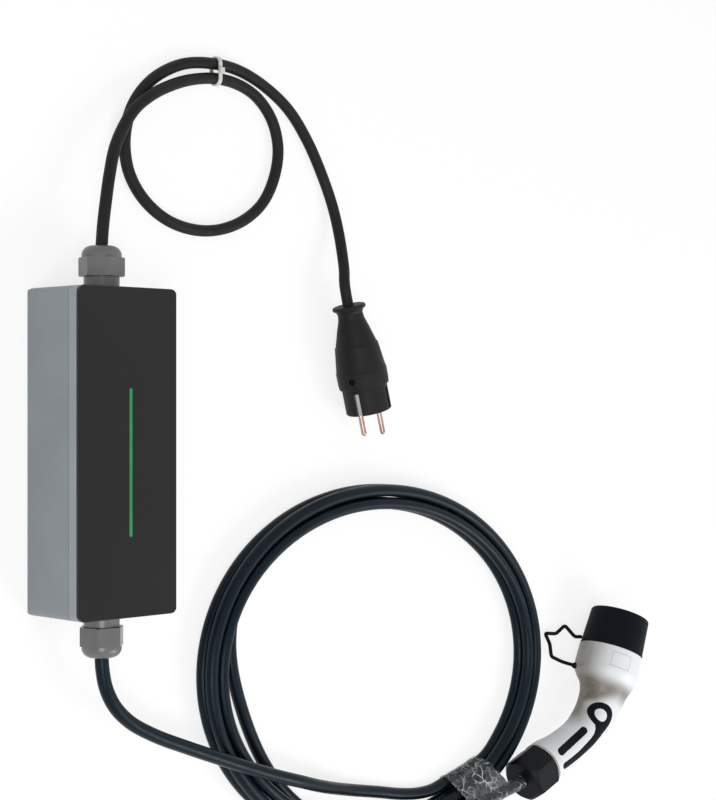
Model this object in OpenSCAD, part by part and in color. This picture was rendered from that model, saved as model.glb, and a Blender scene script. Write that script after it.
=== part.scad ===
// Portable charger for an electric car: a control box with a supply cord and plug at one
// end and a coiled vehicle cord with a capped connector at the other.
// The box lies on its back: +Z out of the front panel, +Y towards the supply end.

/* [Control box] */
// Length of the box between its cord ends
box_l = 258; // [220:1:280]
// Width of the box
box_w = 96; // [88:1:116]
// Depth of the box from its back to the front panel's face
box_d = 70; // [66:1:90]
// Radius of the upright corners
corner_r = 6; // [5:0.5:9]
// Radius of the edge round the back
back_r = 4; // [2:0.5:5]
// Wall thickness of the case
case_wall = 3; // [2.5:0.1:4]
// Depth of the front frame between the seam and the panel
frame_d = 10; // [9:0.5:14]
// Open seam between rear case and front frame
seam_gap = 0.5; // [0.3:0.1:1]
// Thickness of the plate that closes the front frame
frame_plate_t = 2; // [1.5:0.1:2.5]
// Thickness of the front panel
panel_t = 3; // [2:0.5:4]
// Bevel round the front panel's face
panel_bevel = 0.6; // [0.3:0.1:1]
// Reach of the frame's tongue into the rear case
tongue_h = 3; // [2:0.5:4]
// Thickness of the frame's tongue
tongue_t = 1.6; // [1.2:0.1:2]

/* [Light bar] */
// Length of the light bar
bar_l = 116; // [80:1:140]
// Width of the light bar
bar_w = 2.8; // [2:0.1:5]
// Place of the light bar to the right of the centre line
bar_x = 2; // [-10:1:10]
// Place of the light bar along the box
bar_y = -8; // [-20:1:20]
// Overhang of the light guide's flange behind the plate
guide_lip = 2.5; // [2:0.5:4]
// Thickness of the light guide's flange
guide_lip_t = 1.6; // [1:0.1:2]

/* [Inside] */
// Radius of the screw posts in the rear case
post_r = 5.5; // [5:0.5:7]
// Radius of the screw bosses in the front frame
boss_r = 4.2; // [3.5:0.1:4.5]
// Thread diameter of the case screws
case_screw_d = 4; // [3:0.5:4]
// Head diameter of the case screws
case_head_d = 7.4; // [7:0.1:8]
// Thickness of the circuit boards
board_t = 1.6; // [1:0.1:2.4]
// Height of the bosses under the main board
board_rise = 8; // [6:0.5:10]
// Room at each side of the main board
board_side_room = 4; // [3:0.5:6]
// Room at each end of the main board
board_end_room = 22; // [20:1:26]
// Thread diameter of the board screws
board_screw_d = 3; // [2.5:0.5:3]

/* [Cable glands] */
// Thread diameter through the case wall
gland_thread_d = 25; // [20:1:27]
// Width of the gland nut across its flats
gland_af = 32; // [31:0.5:36]
// Length of the nut's hexagon
gland_hex_l = 15; // [10:0.5:18]
// Length of the nut's dome
gland_dome_l = 9.5; // [7:0.5:10]
// Length of the round collar between case and nut
gland_collar_l = 8; // [5:0.5:12]
// Diameter of the round collar
gland_collar_d = 28.5; // [28:0.5:30]
// Thickness of the sealing washer
gland_washer_t = 1.5; // [1:0.1:2]
// Thickness of the lock nut inside the case
locknut_t = 5; // [4:0.5:7]

/* [Supply cord and plug] */
// Diameter of the supply cord
supply_d = 10; // [8:0.5:11]
// Width of the cable tie
tie_w = 3.6; // [2.5:0.1:5]
// Thickness of the cable tie
tie_t = 1.2; // [1:0.1:1.4]
// Length of the plug's rubber body
plug_body_l = 76; // [70:1:84]
// Largest diameter of the plug's rubber body
plug_body_d = 47; // [45:0.5:50]
// Diameter of the collar where the cord enters
plug_collar_d = 31; // [28:0.5:33]
// Diameter of the plug's neck
plug_neck_d = 23; // [20:0.5:26]
// Length of the block that goes into the socket
plug_face_l = 24; // [18:0.5:27]
// Diameter of that block
plug_face_d = 42; // [38:0.5:42.5]
// Diameter of the pins
pin_d = 4.8; // [4:0.1:4.8]
// Length of the pins
pin_l = 23; // [17:0.5:25]
// Distance between the pins
pin_spacing = 19; // [17:0.5:19]

/* [Vehicle cord] */
// Diameter of the vehicle cord
vehicle_d = 11.5; // [10:0.5:12]
// Half length of the oval coil at the middle of its turns
coil_a = 211; // [205:1:214]
// Half width of the oval coil at the middle of its turns
coil_b = 156; // [152:1:158]
// Thickness of the clear film round the coil
film_t = 0.5; // [0.3:0.1:0.8]

/* [Connector] */
// Length of the straight head behind the cap
head_l = 45; // [40:1:52]
// Radius of the bend in the handle
bend_r = 80; // [70:1:95]
// Angle of the bend
bend_angle = 45; // [35:1:50]
// Length of the straight grip
grip_l = 57; // [50:1:64]
// Radius of the head
head_r = 33.4; // [32:0.2:35]
// Half width of the grip
grip_r = 20.2; // [19:0.2:22]
// Radius of the shell at the rear nut
tail_r = 22.4; // [21:0.2:24]
// Wall thickness of the shells
shell_wall = 3; // [2.4:0.1:3.6]
// Outer radius of the shroud round the contacts
shroud_r = 28; // [27:0.2:28.6]
// Length of the shroud
shroud_l = 36; // [30:1:40]
// Wall thickness of the shroud
shroud_wall = 2.2; // [1.8:0.1:2.6]
// Depth of the contact towers below the shroud's rim
tower_drop = 10; // [6:0.5:14]
// Bore of the power contacts
power_bore = 6; // [5:0.1:6.4]
// Bore of the signal contacts
signal_bore = 3; // [2.4:0.1:3.2]
// Thickness of the dust cap's end
cap_end_t = 4; // [3:0.5:6]
// Radius of the dust cap at its end
cap_tip_r = 31; // [30.6:0.1:32]
// Length of the rear nut
nut_l = 33; // [26:1:40]
// Width of the rear nut across its flats
nut_af = 43; // [38:0.5:44]
// Length of the nut's spigot inside the shells
spigot_l = 12; // [8:0.5:14]
// Depth of the grip inlays in the shell
inlay_t = 1.2; // [0.8:0.1:1.6]
// Diameter of the cap's tether
tether_d = 3; // [2:0.2:4]

/* [Fits] */
// Running clearance between pieces that move or slide together
clearance = 0.3; // [0.2:0.05:0.5]
// Close clearance between pieces that are fixed together
close_fit = 0.1; // [0.05:0.05:0.2]

/* [Hidden] */
$fn = 48;
eps = 0.01;

// Heights of the box's layers
panel_z = box_d - panel_t;
plate_z = panel_z - frame_plate_t;
frame_z = panel_z - frame_d;
seam_z = frame_z - seam_gap;
gland_z = box_d / 2;
lip_w = case_wall / 2;
ledge_drop = 1.2;

// Case screws and the posts that hold them
post_x = box_w / 2 - case_wall - 5;
post_y = box_l / 2 - case_wall - 5;
post_top = seam_z - tongue_h - 2 * clearance;
screw_seat = 6;

// Boards
board_w = box_w - 2 * case_wall - 2 * board_side_room;
board_l = box_l - 2 * case_wall - 2 * board_end_room;
board_z = case_wall + board_rise;
board_top = board_z + board_t;
board_screw_x = board_w / 2 - 5;
board_screw_y = board_l / 2 - 6;
guide_w = bar_w + 2 * guide_lip;
led_h = 1;
light_board_z = plate_z - guide_lip_t - led_h - board_t;
light_board_w = 14;
light_screw_y = bar_l / 2 + 8;

// Glands, measured outwards from the end wall
collar_end = gland_washer_t + gland_collar_l;
hex_end = collar_end + gland_hex_l;
gland_end = hex_end + gland_dome_l;
gland_corner_r = gland_af / sqrt(3);
gland_bore_r = 8.4;
inner_thread_r = 12;

// Plug on its floor place, its axis turned from -Y towards +X
plug_pos = [287, 127, plug_body_d / 2 + clearance];
plug_turn = 15.5;
plug_roll = 160;
plug_l = plug_body_l + plug_face_l;
cup_floor = 40;
cup_r = plug_face_d / 2 - 2;

// Connector on its floor place: +Y is the cap's direction, +X the outside of the bend
conn_pos = [667, -224, head_r + 1];
conn_turn = -24;
bend_arc = bend_r * bend_angle * PI / 180;
shell_l = head_l + bend_arc + grip_l;
cap_in_r = shroud_r + clearance + close_fit;
cap_l = shroud_l + cap_end_t + clearance;
insert_base_t = 14;
cap_base_r = head_r - 0.4;
tower_l = shroud_l - tower_drop;

// Oval coil on the floor
coil_c = [345, -206];
coil_tilt = -6;
coil_low = 0.8;
coil_high = coil_low + 2 * vehicle_d + 0.5;
coil_half = vehicle_d + 0.5;
film_from = -58;
film_to = -42;

// Supply cord: out of the gland, over its own return, round the loop, through the tie to the plug
supply_route = concat(
  [[0, box_l / 2 - case_wall - 12, gland_z], [0, box_l / 2 + gland_end, gland_z]],
  [[2, 178, 34], [7, 198, 31], [14, 222, 27], [23, 244, 22], [35, 263, 18], [48, 279, 16],
   [65, 292, 15], [87, 303, 12], [113, 312, 8.5], [143, 317, 7], [170, 315, 6], [193, 306, 5.2],
   [210, 288, 5.2], [217, 265, 5.2], [213, 240, 5.2], [199, 215, 5.2], [175, 197, 5.2],
   [145, 187, 5.2], [116, 186, 5.2], [88, 193, 5.2], [65, 208, 5.2], [51, 227, 5.2],
   [46, 248, 5.2], [48, 268, 5.2], [56, 287, 5.2], [69, 303, 5.2], [87, 316, 5.2],
   [111, 326, 6], [143, 329.5, 7], [172, 327, 6], [202, 317, 5.2], [230, 300, 5.2],
   [252, 276, 5.2], [270, 248, 5.2], [283, 218, 7], [287, 190, 12], [286, 160, 19]],
  [plug_point(-18), plug_point(cup_floor - 4)]);

// Marks of the lead and the tail beside the coil: angle round the oval, distance out, height
lead_out = -coil_half - vehicle_d / 2 - 0.6;
lead_z = vehicle_d / 2 + 1;
lead_marks = [[-100.6, -38, 11], [-86.2, -35, lead_z], [-77, -28.5, lead_z], [-70, -23, lead_z],
  [-64, lead_out - 1, lead_z], [-58, lead_out, lead_z], [-56, lead_out, lead_z]];
tail_marks = [[-59.2, 5.5, 30.2], [-53, 10, 30.6], [-46.4, 16, 31.8], [-41.5, 22, 33.1]];

// Vehicle cord's lead: out of the gland, over the coil and along its inside into the film
lead_route = concat(
  [[0, -box_l / 2 + case_wall + 12, gland_z], [0, -box_l / 2 - gland_end, gland_z]],
  [[0.6, -171, 34.9], [4.2, -187, 34.6], [13, -203, 34.1], [29, -218, 33.3], [55, -232.5, 32.5],
   [92, -248, 31.6], [125, -261, 31.2], [156, -273, 31.2], [189, -285, 31.2], [220, -295, 31],
   [255, -306, 23]],
  [for (mark = lead_marks) coil_point(mark[0], mark[1], mark[2])]);

// Vehicle cord's tail: off the top of the coil, up into the connector's nut
tail_route = concat(
  [for (mark = tail_marks) coil_point(mark[0], mark[1], mark[2])],
  [conn_point(shell_l + nut_l), conn_point(shell_l - 20)]);

// Tether from the cap's side in the shape of a star to its anchor on the shell
tether_route = [[644.9, -209, 11.7], [634, -208, 12], [621, -195, 9], [609, -203, 7],
  [592, -201, 6], [600, -213, 6], [601, -226, 7], [617, -233, 9], [631.2, -237.5, 12.6]];

function unit(v) = v / norm(v);

// A point on the plug's axis, at a distance along it from its rear end
function plug_point(along) = plug_pos + along * [sin(plug_turn), -cos(plug_turn), 0];

// The heading of the handle's centre line and the line itself, at a distance from the cap's seat
function heading(s) = s < head_l ? 0 : s > head_l + bend_arc ? bend_angle
  : (s - head_l) / bend_r * 180 / PI;
function bend_point(h) = [-bend_r * (1 - cos(h)), -head_l - bend_r * sin(h)];
function spine(s) = s < head_l ? [0, -s]
  : bend_point(heading(s)) - max(0, s - head_l - bend_arc) * [sin(bend_angle), cos(bend_angle)];
function across(s) = [cos(heading(s)), -sin(heading(s))];

// A point of the connector's own plane in the row frame, and a point on its centre line
function conn_place(p, z) = conn_pos + [p[0] * cos(conn_turn) - p[1] * sin(conn_turn),
  p[0] * sin(conn_turn) + p[1] * cos(conn_turn), z];
function conn_point(s) = conn_place(spine(s), 0);

// Sections of the handle: distance from the cap's seat, sideways shift, half width, half height
sections = [[0, 0, head_r, head_r], [20, 0, head_r + 0.3, head_r + 0.2],
  [27, 0.5, head_r, head_r - 0.6], [34, 2.5, head_r - 2.4, head_r - 4], [40, 4, head_r - 5, head_r - 8.4],
  [head_l + 4, 4, head_r - 7.4, head_r - 11], [head_l + 13, 3.6, grip_r + 4.2, grip_r + 1],
  [head_l + 25, 3, grip_r + 2.4, grip_r + 0.2], [head_l + 39, 2.6, grip_r + 1, grip_r - 0.4],
  [head_l + 55, 2.8, grip_r, grip_r - 0.6], [shell_l - 46, 2.8, grip_r, grip_r - 0.4],
  [shell_l - 28, 2, grip_r + 0.6, grip_r + 0.2], [shell_l - 12, 0.3, tail_r - 0.3, tail_r - 0.3],
  [shell_l, 0, tail_r, tail_r]];
function section_at(s, k) = lookup(s, [for (row = sections) [row[0], row[k]]]);

// Sweeps: a round tube along points, with flat ends
function tangent(p, i) = unit(p[min(i + 1, len(p) - 1)] - p[max(i - 1, 0)]);
function tube_ring(p, i, r, sides) = let (t = tangent(p, i), side = unit(cross(t, [0, 0, 1])),
  up = cross(side, t)) [for (k = [0 : sides - 1])
  p[i] + r * (cos(k * 360 / sides) * side + sin(k * 360 / sides) * up)];
function band(i, j, k, n) = let (next = (k + 1) % n)
  [[i * n + k, i * n + next, j * n + next], [i * n + k, j * n + next, j * n + k]];
// A flat end of a folded ring, whose second half runs back beside its first
function fold_face(k, n, base) = [base + k, base + k + 1, base + n - 2 - k, base + n - 1 - k];
function turned(face) = [for (k = [len(face) - 1 : -1 : 0]) face[k]];
module swept(rings, closed = false, folded = false) {
  n = len(rings[0]);
  m = len(rings);
  walls = [for (i = [0 : closed ? m - 1 : m - 2]) for (k = [0 : n - 1])
    each band(i, (i + 1) % m, k, n)];
  caps = folded ? [for (k = [0 : n / 2 - 2]) fold_face(k, n, 0)] : [[for (k = [0 : n - 1]) k]];
  ends = closed ? [] : [for (face = caps) each [turned(face), [for (k = face) k + (m - 1) * n]]];
  polyhedron([for (ring = rings) each ring], concat(walls, ends), convexity = 8);
}
module tube(points, d, sides = 10) {
  swept([for (i = [0 : len(points) - 1]) tube_ring(points, i, d / 2, sides)]);
}

// Plain shapes used by several pieces

// Rectangle with round corners
module outline(w, l, r) {
  square([w - 2 * r, l], center = true);
  square([w, l - 2 * r], center = true);
  for (x = [-1, 1]) for (y = [-1, 1]) translate([x * (w / 2 - r), y * (l / 2 - r)]) circle(r);
}
// Slot with round ends
module slot(w, l) {
  square([w, l - w], center = true);
  for (y = [-1, 1]) translate([0, y * (l - w) / 2]) circle(w / 2);
}
// The box's outline, drawn in from the outside
module case_outline(inset) {
  outline(box_w - 2 * inset, box_l - 2 * inset, max(corner_r - inset, 1));
}
// Side view with round lower corners
module round_foot(w, h, r) {
  translate([-w / 2, r]) square([w, h - r]);
  translate([-w / 2 + r, 0]) square([w - 2 * r, h]);
  for (x = [-1, 1]) translate([x * (w / 2 - r), r]) circle(r);
}
// Side view with bevelled upper corners
module bevelled_top(w, h, b) {
  polygon([[-w / 2, 0], [w / 2, 0], [w / 2, h - b], [w / 2 - b, h], [-w / 2 + b, h], [-w / 2, h - b]]);
}
// Cuts the children to a side view across the width and along the length
module trimmed_across(w) {
  intersection() {
    children(0);
    rotate([90, 0, 0]) linear_extrude(box_l + 2, center = true) children(1);
    rotate([90, 0, 90]) linear_extrude(w + 2, center = true) children(2);
  }
}
module four_places(x, y) {
  for (i = [-1, 1]) for (j = [-1, 1]) translate([i * x, j * y, 0]) children();
}
module at_light_screws() {
  for (j = [-1, 1]) translate([bar_x, bar_y + j * light_screw_y, 0]) children();
}
module ring(r_out, r_in, h) {
  difference() {
    cylinder(h = h, r = r_out);
    translate([0, 0, -1]) cylinder(h = h + 2, r = r_in);
  }
}
// Pan-head screw, head up, its seat at z = 0
module screw(d, head_d, head_h, l) {
  translate([0, 0, -l]) cylinder(h = l + eps, d = d);
  difference() {
    cylinder(h = head_h, d = head_d);
    translate([0, 0, head_h]) cube([head_d * 0.62, d * 0.22, head_h], center = true);
    translate([0, 0, head_h]) cube([d * 0.22, head_d * 0.62, head_h], center = true);
  }
}
// A gland's own place: z runs outwards from the end wall
module at_gland(end) {
  translate([0, end * box_l / 2, gland_z]) rotate([-90 * end, 0, 0]) children();
}

// Control box

module rear_case() color("slategray") difference() {
  union() {
    difference() {
      trimmed_across(box_w) {
        linear_extrude(seam_z) case_outline(0);
        round_foot(box_w, seam_z + 1, back_r);
        round_foot(box_l, seam_z + 1, back_r);
      }
      translate([0, 0, case_wall]) linear_extrude(seam_z) case_outline(case_wall);
      translate([0, 0, seam_z - ledge_drop]) linear_extrude(seam_z) case_outline(lip_w);
    }
    intersection() {
      four_places(post_x, post_y)
        translate([0, 0, case_wall - eps]) cylinder(h = post_top - case_wall, r = post_r);
      linear_extrude(seam_z) case_outline(case_wall - 0.5);
    }
    four_places(board_screw_x, board_screw_y)
      translate([0, 0, case_wall - eps]) cylinder(h = board_rise, r = board_screw_d);
  }
  four_places(post_x, post_y) {
    translate([0, 0, -1]) cylinder(h = box_d, d = case_screw_d + 2 * clearance);
    translate([0, 0, -1]) cylinder(h = screw_seat + 1, d = case_head_d + 2 * clearance);
  }
  four_places(board_screw_x, board_screw_y)
    translate([0, 0, case_wall]) cylinder(h = board_rise + 1, d = board_screw_d + 2 * close_fit);
  for (end = [-1, 1]) at_gland(end)
    translate([0, 0, -case_wall - 1]) cylinder(h = case_wall + 2, d = gland_thread_d + 2 * close_fit);
}

module front_frame() color("slategray") difference() {
  union() {
    difference() {
      translate([0, 0, frame_z]) linear_extrude(frame_d) case_outline(0);
      translate([0, 0, frame_z - 1]) linear_extrude(plate_z - frame_z + 1) case_outline(case_wall);
    }
    translate([0, 0, seam_z - tongue_h]) linear_extrude(plate_z - seam_z + tongue_h + eps) difference() {
      case_outline(case_wall + clearance);
      case_outline(case_wall + clearance + tongue_t);
    }
    translate([0, 0, frame_z]) linear_extrude(frame_d - frame_plate_t) difference() {
      case_outline(case_wall - eps);
      case_outline(case_wall + clearance + tongue_t);
    }
    four_places(post_x, post_y)
      translate([0, 0, post_top + clearance]) cylinder(h = plate_z - post_top, r = boss_r);
    at_light_screws() translate([0, 0, light_board_z + board_t])
      cylinder(h = plate_z - light_board_z - board_t + eps, r = board_screw_d);
  }
  four_places(post_x, post_y)
    translate([0, 0, post_top]) cylinder(h = plate_z - post_top - 1, d = case_screw_d + 2 * close_fit);
  at_light_screws() translate([0, 0, light_board_z])
    cylinder(h = plate_z - light_board_z, d = board_screw_d + 2 * close_fit);
  translate([bar_x, bar_y, plate_z - 1])
    linear_extrude(frame_plate_t + 2) slot(bar_w + 2 * close_fit, bar_l + 2 * close_fit);
}

module front_panel() color("black") difference() {
  translate([0, 0, panel_z]) trimmed_across(box_w) {
    linear_extrude(panel_t) case_outline(0);
    bevelled_top(box_w, panel_t, panel_bevel);
    bevelled_top(box_l, panel_t, panel_bevel);
  }
  translate([bar_x, bar_y, panel_z - 1])
    linear_extrude(panel_t + 2) slot(bar_w + 2 * close_fit, bar_l + 2 * close_fit);
}

module light_guide() color("mediumseagreen") translate([bar_x, bar_y, 0]) {
  translate([0, 0, plate_z - eps]) linear_extrude(box_d - plate_z) slot(bar_w, bar_l);
  translate([0, 0, plate_z - guide_lip_t])
    linear_extrude(guide_lip_t) slot(guide_w, bar_l + 2 * guide_lip);
}

module light_board() color("darkgreen") translate([bar_x, bar_y, light_board_z]) {
  led_pitch = 12;
  led_w = 3;
  led_count = floor(bar_l / led_pitch);
  difference() {
    translate([-light_board_w / 2, -light_screw_y - 5, 0])
      cube([light_board_w, 2 * light_screw_y + 10, board_t]);
    for (j = [-1, 1]) translate([0, j * light_screw_y, -1])
      cylinder(h = board_t + 2, d = board_screw_d + clearance);
  }
  for (i = [0 : led_count - 1])
    translate([-led_w / 2, (i - (led_count - 1) / 2) * led_pitch - led_w / 2, board_t - eps])
      cube([led_w, led_w, led_h - close_fit]);
}

module cover_gasket() color("dimgray") translate([0, 0, seam_z - ledge_drop])
  linear_extrude(ledge_drop + seam_gap) difference() {
    case_outline(lip_w + close_fit);
    case_outline(case_wall - close_fit);
  }

module case_screws() color("silver") four_places(post_x, post_y)
  translate([0, 0, screw_seat]) mirror([0, 0, 1])
    screw(case_screw_d, case_head_d, 3, plate_z - screw_seat - 3);

module main_board() color("darkgreen") difference() {
  translate([-board_w / 2, -board_l / 2, board_z]) cube([board_w, board_l, board_t]);
  four_places(board_screw_x, board_screw_y)
    translate([0, 0, board_z - 1]) cylinder(h = board_t + 2, d = board_screw_d + clearance);
}

module board_screws() color("silver") {
  four_places(board_screw_x, board_screw_y)
    translate([0, 0, board_top])
      screw(board_screw_d, 2 * board_screw_d - 0.4, 2, board_t + board_rise - 2);
  at_light_screws() translate([0, 0, light_board_z]) mirror([0, 0, 1])
    screw(board_screw_d, 2 * board_screw_d - 0.4, 2, board_t + 2);
}

// Box-shaped component with bevelled top edges, standing on the main board
module board_part(x, y, w, l, h) {
  translate([x, y, board_top]) trimmed_across(w) {
    translate([-w / 2, -l / 2, 0]) cube([w, l, h]);
    bevelled_top(w, h, 1);
    bevelled_top(l, h, 1);
  }
}
relay_size = [28, 30, 24];
module power_relays() color("royalblue") for (i = [-1, 1])
  board_part(i * (relay_size[0] / 2 + 3), 40, relay_size[0], relay_size[1], relay_size[2]);

module current_sensor() color("gold") translate([-16, -30, board_top]) ring(17, 9, 14);

module power_module() color("dimgray") board_part(20, -30, 30, 46, 20);

module surge_varistor() color("steelblue") translate([board_w / 2 - 17, 8, board_top]) {
  translate([0, 0, 11]) rotate([90, 0, 0]) cylinder(h = 5, r = 8, center = true);
  for (x = [-3.75, 3.75]) translate([x, 0, 0]) cylinder(h = 6, d = 1);
}

// Terminal block: ways side by side, a wire hole towards the cord and a screw above each
way = 9;
terminal_d = 15;
terminal_h = 19;
terminal_y = board_l / 2 - terminal_d / 2 - 16;
wire_z = board_top + 6;
core_d = 3.4;
module terminal(ways, end) {
  color("seagreen") translate([0, end * terminal_y, 0]) difference() {
    translate([-ways * way / 2, -terminal_d / 2, board_top]) cube([ways * way, terminal_d, terminal_h]);
    for (i = [0 : ways - 1]) translate([(i - (ways - 1) / 2) * way, 0, 0]) {
      translate([0, end * terminal_d / 2, wire_z]) rotate([90, 0, 0])
        cylinder(h = 18, d = core_d + 2 * clearance, center = true);
      translate([0, 0, wire_z + 4]) cylinder(h = terminal_h, d = 4.6);
    }
  }
}
module mains_terminal() terminal(3, 1);
module vehicle_terminal() terminal(5, -1);

// Cores from the cord's end down into the terminal's ways
module cores(ways, end, cord_d) color("sienna") for (i = [0 : ways - 1]) {
  x = (i - (ways - 1) / 2) * way;
  fan = (cord_d - core_d) / (ways * way);
  start = box_l / 2 - case_wall - 12;
  mouth = terminal_y + terminal_d / 2;
  tube([[x * fan, end * (start - close_fit), gland_z], [x * fan, end * (start - 4), gland_z],
    [x * 0.8, end * (mouth + 5), wire_z + 2], [x, end * (mouth + 1), wire_z],
    [x, end * (mouth - 7), wire_z]], core_d, 8);
}
module supply_cores() cores(3, 1, supply_d);
module vehicle_cores() cores(5, -1, vehicle_d);

// Cable glands

module gland_washer(end) color("black") at_gland(end)
  ring(gland_collar_d / 2 + 1, gland_thread_d / 2 + close_fit, gland_washer_t);

module gland_body(end) color("dimgray") at_gland(end) difference() {
  union() {
    translate([0, 0, -case_wall - locknut_t - 2])
      cylinder(h = case_wall + locknut_t + 3 + gland_washer_t, d = gland_thread_d);
    translate([0, 0, gland_washer_t]) cylinder(h = gland_collar_l - clearance, d = gland_collar_d);
    translate([0, 0, gland_washer_t]) cylinder(h = gland_collar_l + gland_hex_l - 5, r = inner_thread_r);
  }
  translate([0, 0, -case_wall - locknut_t - 3]) cylinder(h = gland_end, r = supply_d / 2 + 1.6);
  translate([0, 0, collar_end]) cylinder(h = gland_end, r = gland_bore_r);
}

// Six-sided nut with a domed top round the cord's hole
module gland_nut(end, cord_d) color("dimgray") at_gland(end) difference() {
  dome_r = min(8, gland_dome_l - 1);
  union() {
    translate([0, 0, collar_end]) intersection() {
      rotate(15) cylinder(h = gland_hex_l, r = gland_corner_r, $fn = 6);
      cylinder(h = gland_hex_l, r1 = gland_corner_r + gland_hex_l - 1.4, r2 = gland_corner_r - 0.6);
      cylinder(h = gland_hex_l, r1 = gland_corner_r - 0.8, r2 = gland_corner_r + gland_hex_l);
    }
    translate([0, 0, hex_end - eps]) rotate_extrude() {
      square([gland_af / 2 - dome_r, gland_dome_l]);
      square([gland_af / 2, gland_dome_l - dome_r]);
      intersection() {
        translate([gland_af / 2 - dome_r, gland_dome_l - dome_r]) circle(dome_r);
        square([gland_af, gland_dome_l]);
      }
    }
  }
  translate([0, 0, collar_end - 1]) cylinder(h = gland_hex_l + 1, r = inner_thread_r + close_fit);
  translate([0, 0, collar_end]) cylinder(h = gland_end, d = cord_d + 2 * clearance);
}

module gland_seal(end, cord_d) color("black") at_gland(end)
  translate([0, 0, collar_end]) ring(gland_bore_r - close_fit, cord_d / 2 + close_fit, gland_hex_l);

module gland_locknut(end) color("dimgray") at_gland(end) difference() {
  translate([0, 0, -case_wall - locknut_t]) cylinder(h = locknut_t, r = gland_corner_r, $fn = 6);
  translate([0, 0, -case_wall - locknut_t - 1])
    cylinder(h = locknut_t + 2, d = gland_thread_d + 2 * close_fit);
}

module supply_gland_washer() gland_washer(1);
module supply_gland_body() gland_body(1);
module supply_gland_nut() gland_nut(1, supply_d);
module supply_gland_seal() gland_seal(1, supply_d);
module supply_gland_locknut() gland_locknut(1);
module vehicle_gland_washer() gland_washer(-1);
module vehicle_gland_body() gland_body(-1);
module vehicle_gland_nut() gland_nut(-1, vehicle_d);
module vehicle_gland_seal() gland_seal(-1, vehicle_d);
module vehicle_gland_locknut() gland_locknut(-1);

// Supply cord, tie and plug

module supply_cord() color("#2a2828") tube(supply_route, supply_d);

// Cable tie round the two strands of the loop
tie_place = [143, 323.25, 7];
strand_gap = 12.5;
module cord_tie() color("white") translate(tie_place) {
  hole_d = supply_d + 2 * clearance;
  rotate([90, 0, 90]) linear_extrude(tie_w, center = true) difference() {
    rotate(90) slot(hole_d + 2 * tie_t, strand_gap + hole_d + 2 * tie_t);
    rotate(90) slot(hole_d, strand_gap + hole_d);
  }
  translate([0, 0, hole_d / 2 + tie_t + 1.2]) cube([tie_w + 1.4, 5, 2.4 + eps], center = true);
}

module at_plug() {
  translate(plug_pos) rotate([90, 0, plug_turn]) rotate(plug_roll) children();
}
plug_shoulder = 36.5;
plug_band = 60;
plug_r = plug_body_d / 2;
neck_r = plug_neck_d / 2;
collar_r = plug_collar_d / 2;
screw_along = plug_band + 7;
screw_angle = 0;

// Rubber body: collar, neck, stepped cone and skirt, hollow for the contact block
module plug_shell() color("#252323") at_plug() difference() {
  rotate_extrude($fn = 64) polygon([[supply_d / 2 + clearance, 0], [collar_r - 2, 0],
    [collar_r - 0.6, 0.6], [collar_r, 2], [collar_r - 0.4, 3.4], [neck_r + 1, 5], [neck_r, 8],
    [neck_r + 0.6, 13], [neck_r + 3.2, 21], [plug_r - 4.3, plug_shoulder],
    [plug_r - 3.5, plug_shoulder + 0.6], [plug_r - 0.5, plug_band], [plug_r, plug_band + 0.8],
    [plug_r - 0.1, plug_body_l - 5], [plug_r - 0.5, plug_body_l - 0.8], [plug_r - 1.2, plug_body_l],
    [cup_r + clearance, plug_body_l], [cup_r + clearance, cup_floor],
    [supply_d / 2 + clearance, cup_floor - 3]]);
  rotate(screw_angle) translate([0, 0, screw_along]) rotate([0, 90, 0])
    cylinder(h = plug_body_d, d = 6);
}

// Contact block: round, with two guide grooves, two earth slots and holes for the pins
slot_w = 5;
slot_deep = 3.4;
module plug_face() color("#1d1c1c") at_plug() difference() {
  union() {
    translate([0, 0, cup_floor + clearance]) cylinder(h = plug_l - cup_floor - clearance - 1, r = cup_r);
    translate([0, 0, plug_body_l + close_fit]) cylinder(h = plug_face_l - close_fit - 1, d = plug_face_d);
    translate([0, 0, plug_l - 1 - eps]) cylinder(h = 1, d1 = plug_face_d, d2 = plug_face_d - 2);
  }
  for (side = [-1, 1]) {
    translate([side * (plug_face_d / 2 - slot_deep / 2 + 1), 0, plug_body_l + plug_face_l / 2 + 3])
      cube([slot_deep + 2, slot_w, plug_face_l], center = true);
    translate([0, side * (plug_face_d / 2 + 0.4), plug_body_l + plug_face_l / 2 + 2.5])
      cube([slot_w * 1.4, 3.2, plug_face_l], center = true);
    translate([0, side * pin_spacing / 2, plug_l - 14]) cylinder(h = 16, d = pin_d + 2 * close_fit);
  }
  rotate(screw_angle) translate([cup_r - 4, 0, screw_along]) rotate([0, 90, 0])
    cylinder(h = 9, d = 3.2 + 2 * close_fit);
}

// Pins with a thinner root inside the block and a round tip
pin_root = 13.9;
module plug_pins() color("#b08d57") at_plug() for (side = [-1, 1])
  translate([0, side * pin_spacing / 2, plug_l]) {
    translate([0, 0, -pin_root]) cylinder(h = pin_root + eps, d = pin_d - 0.4);
    cylinder(h = pin_l - pin_d / 2, d = pin_d);
    translate([0, 0, pin_l - pin_d / 2]) sphere(d = pin_d);
  }

module plug_earth_strips() color("#b8bcc0") at_plug() for (side = [-1, 1])
  translate([side * (plug_face_d / 2 - slot_deep + 0.8), 0, plug_l - plug_face_l / 2 + 1.6])
    cube([1.5, slot_w - 2 * close_fit, plug_face_l - 4], center = true);

module plug_screw() color("silver") at_plug() rotate(screw_angle)
  translate([cup_r + close_fit, 0, screw_along]) rotate([0, 90, 0]) screw(3.2, 5.4, 1.8, 3.8);

// Vehicle cord

module vehicle_cord_lead() color("#1f262c") tube(lead_route, vehicle_d);
module vehicle_cord_tail() color("#1f262c") tube(tail_route, vehicle_d);

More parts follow.
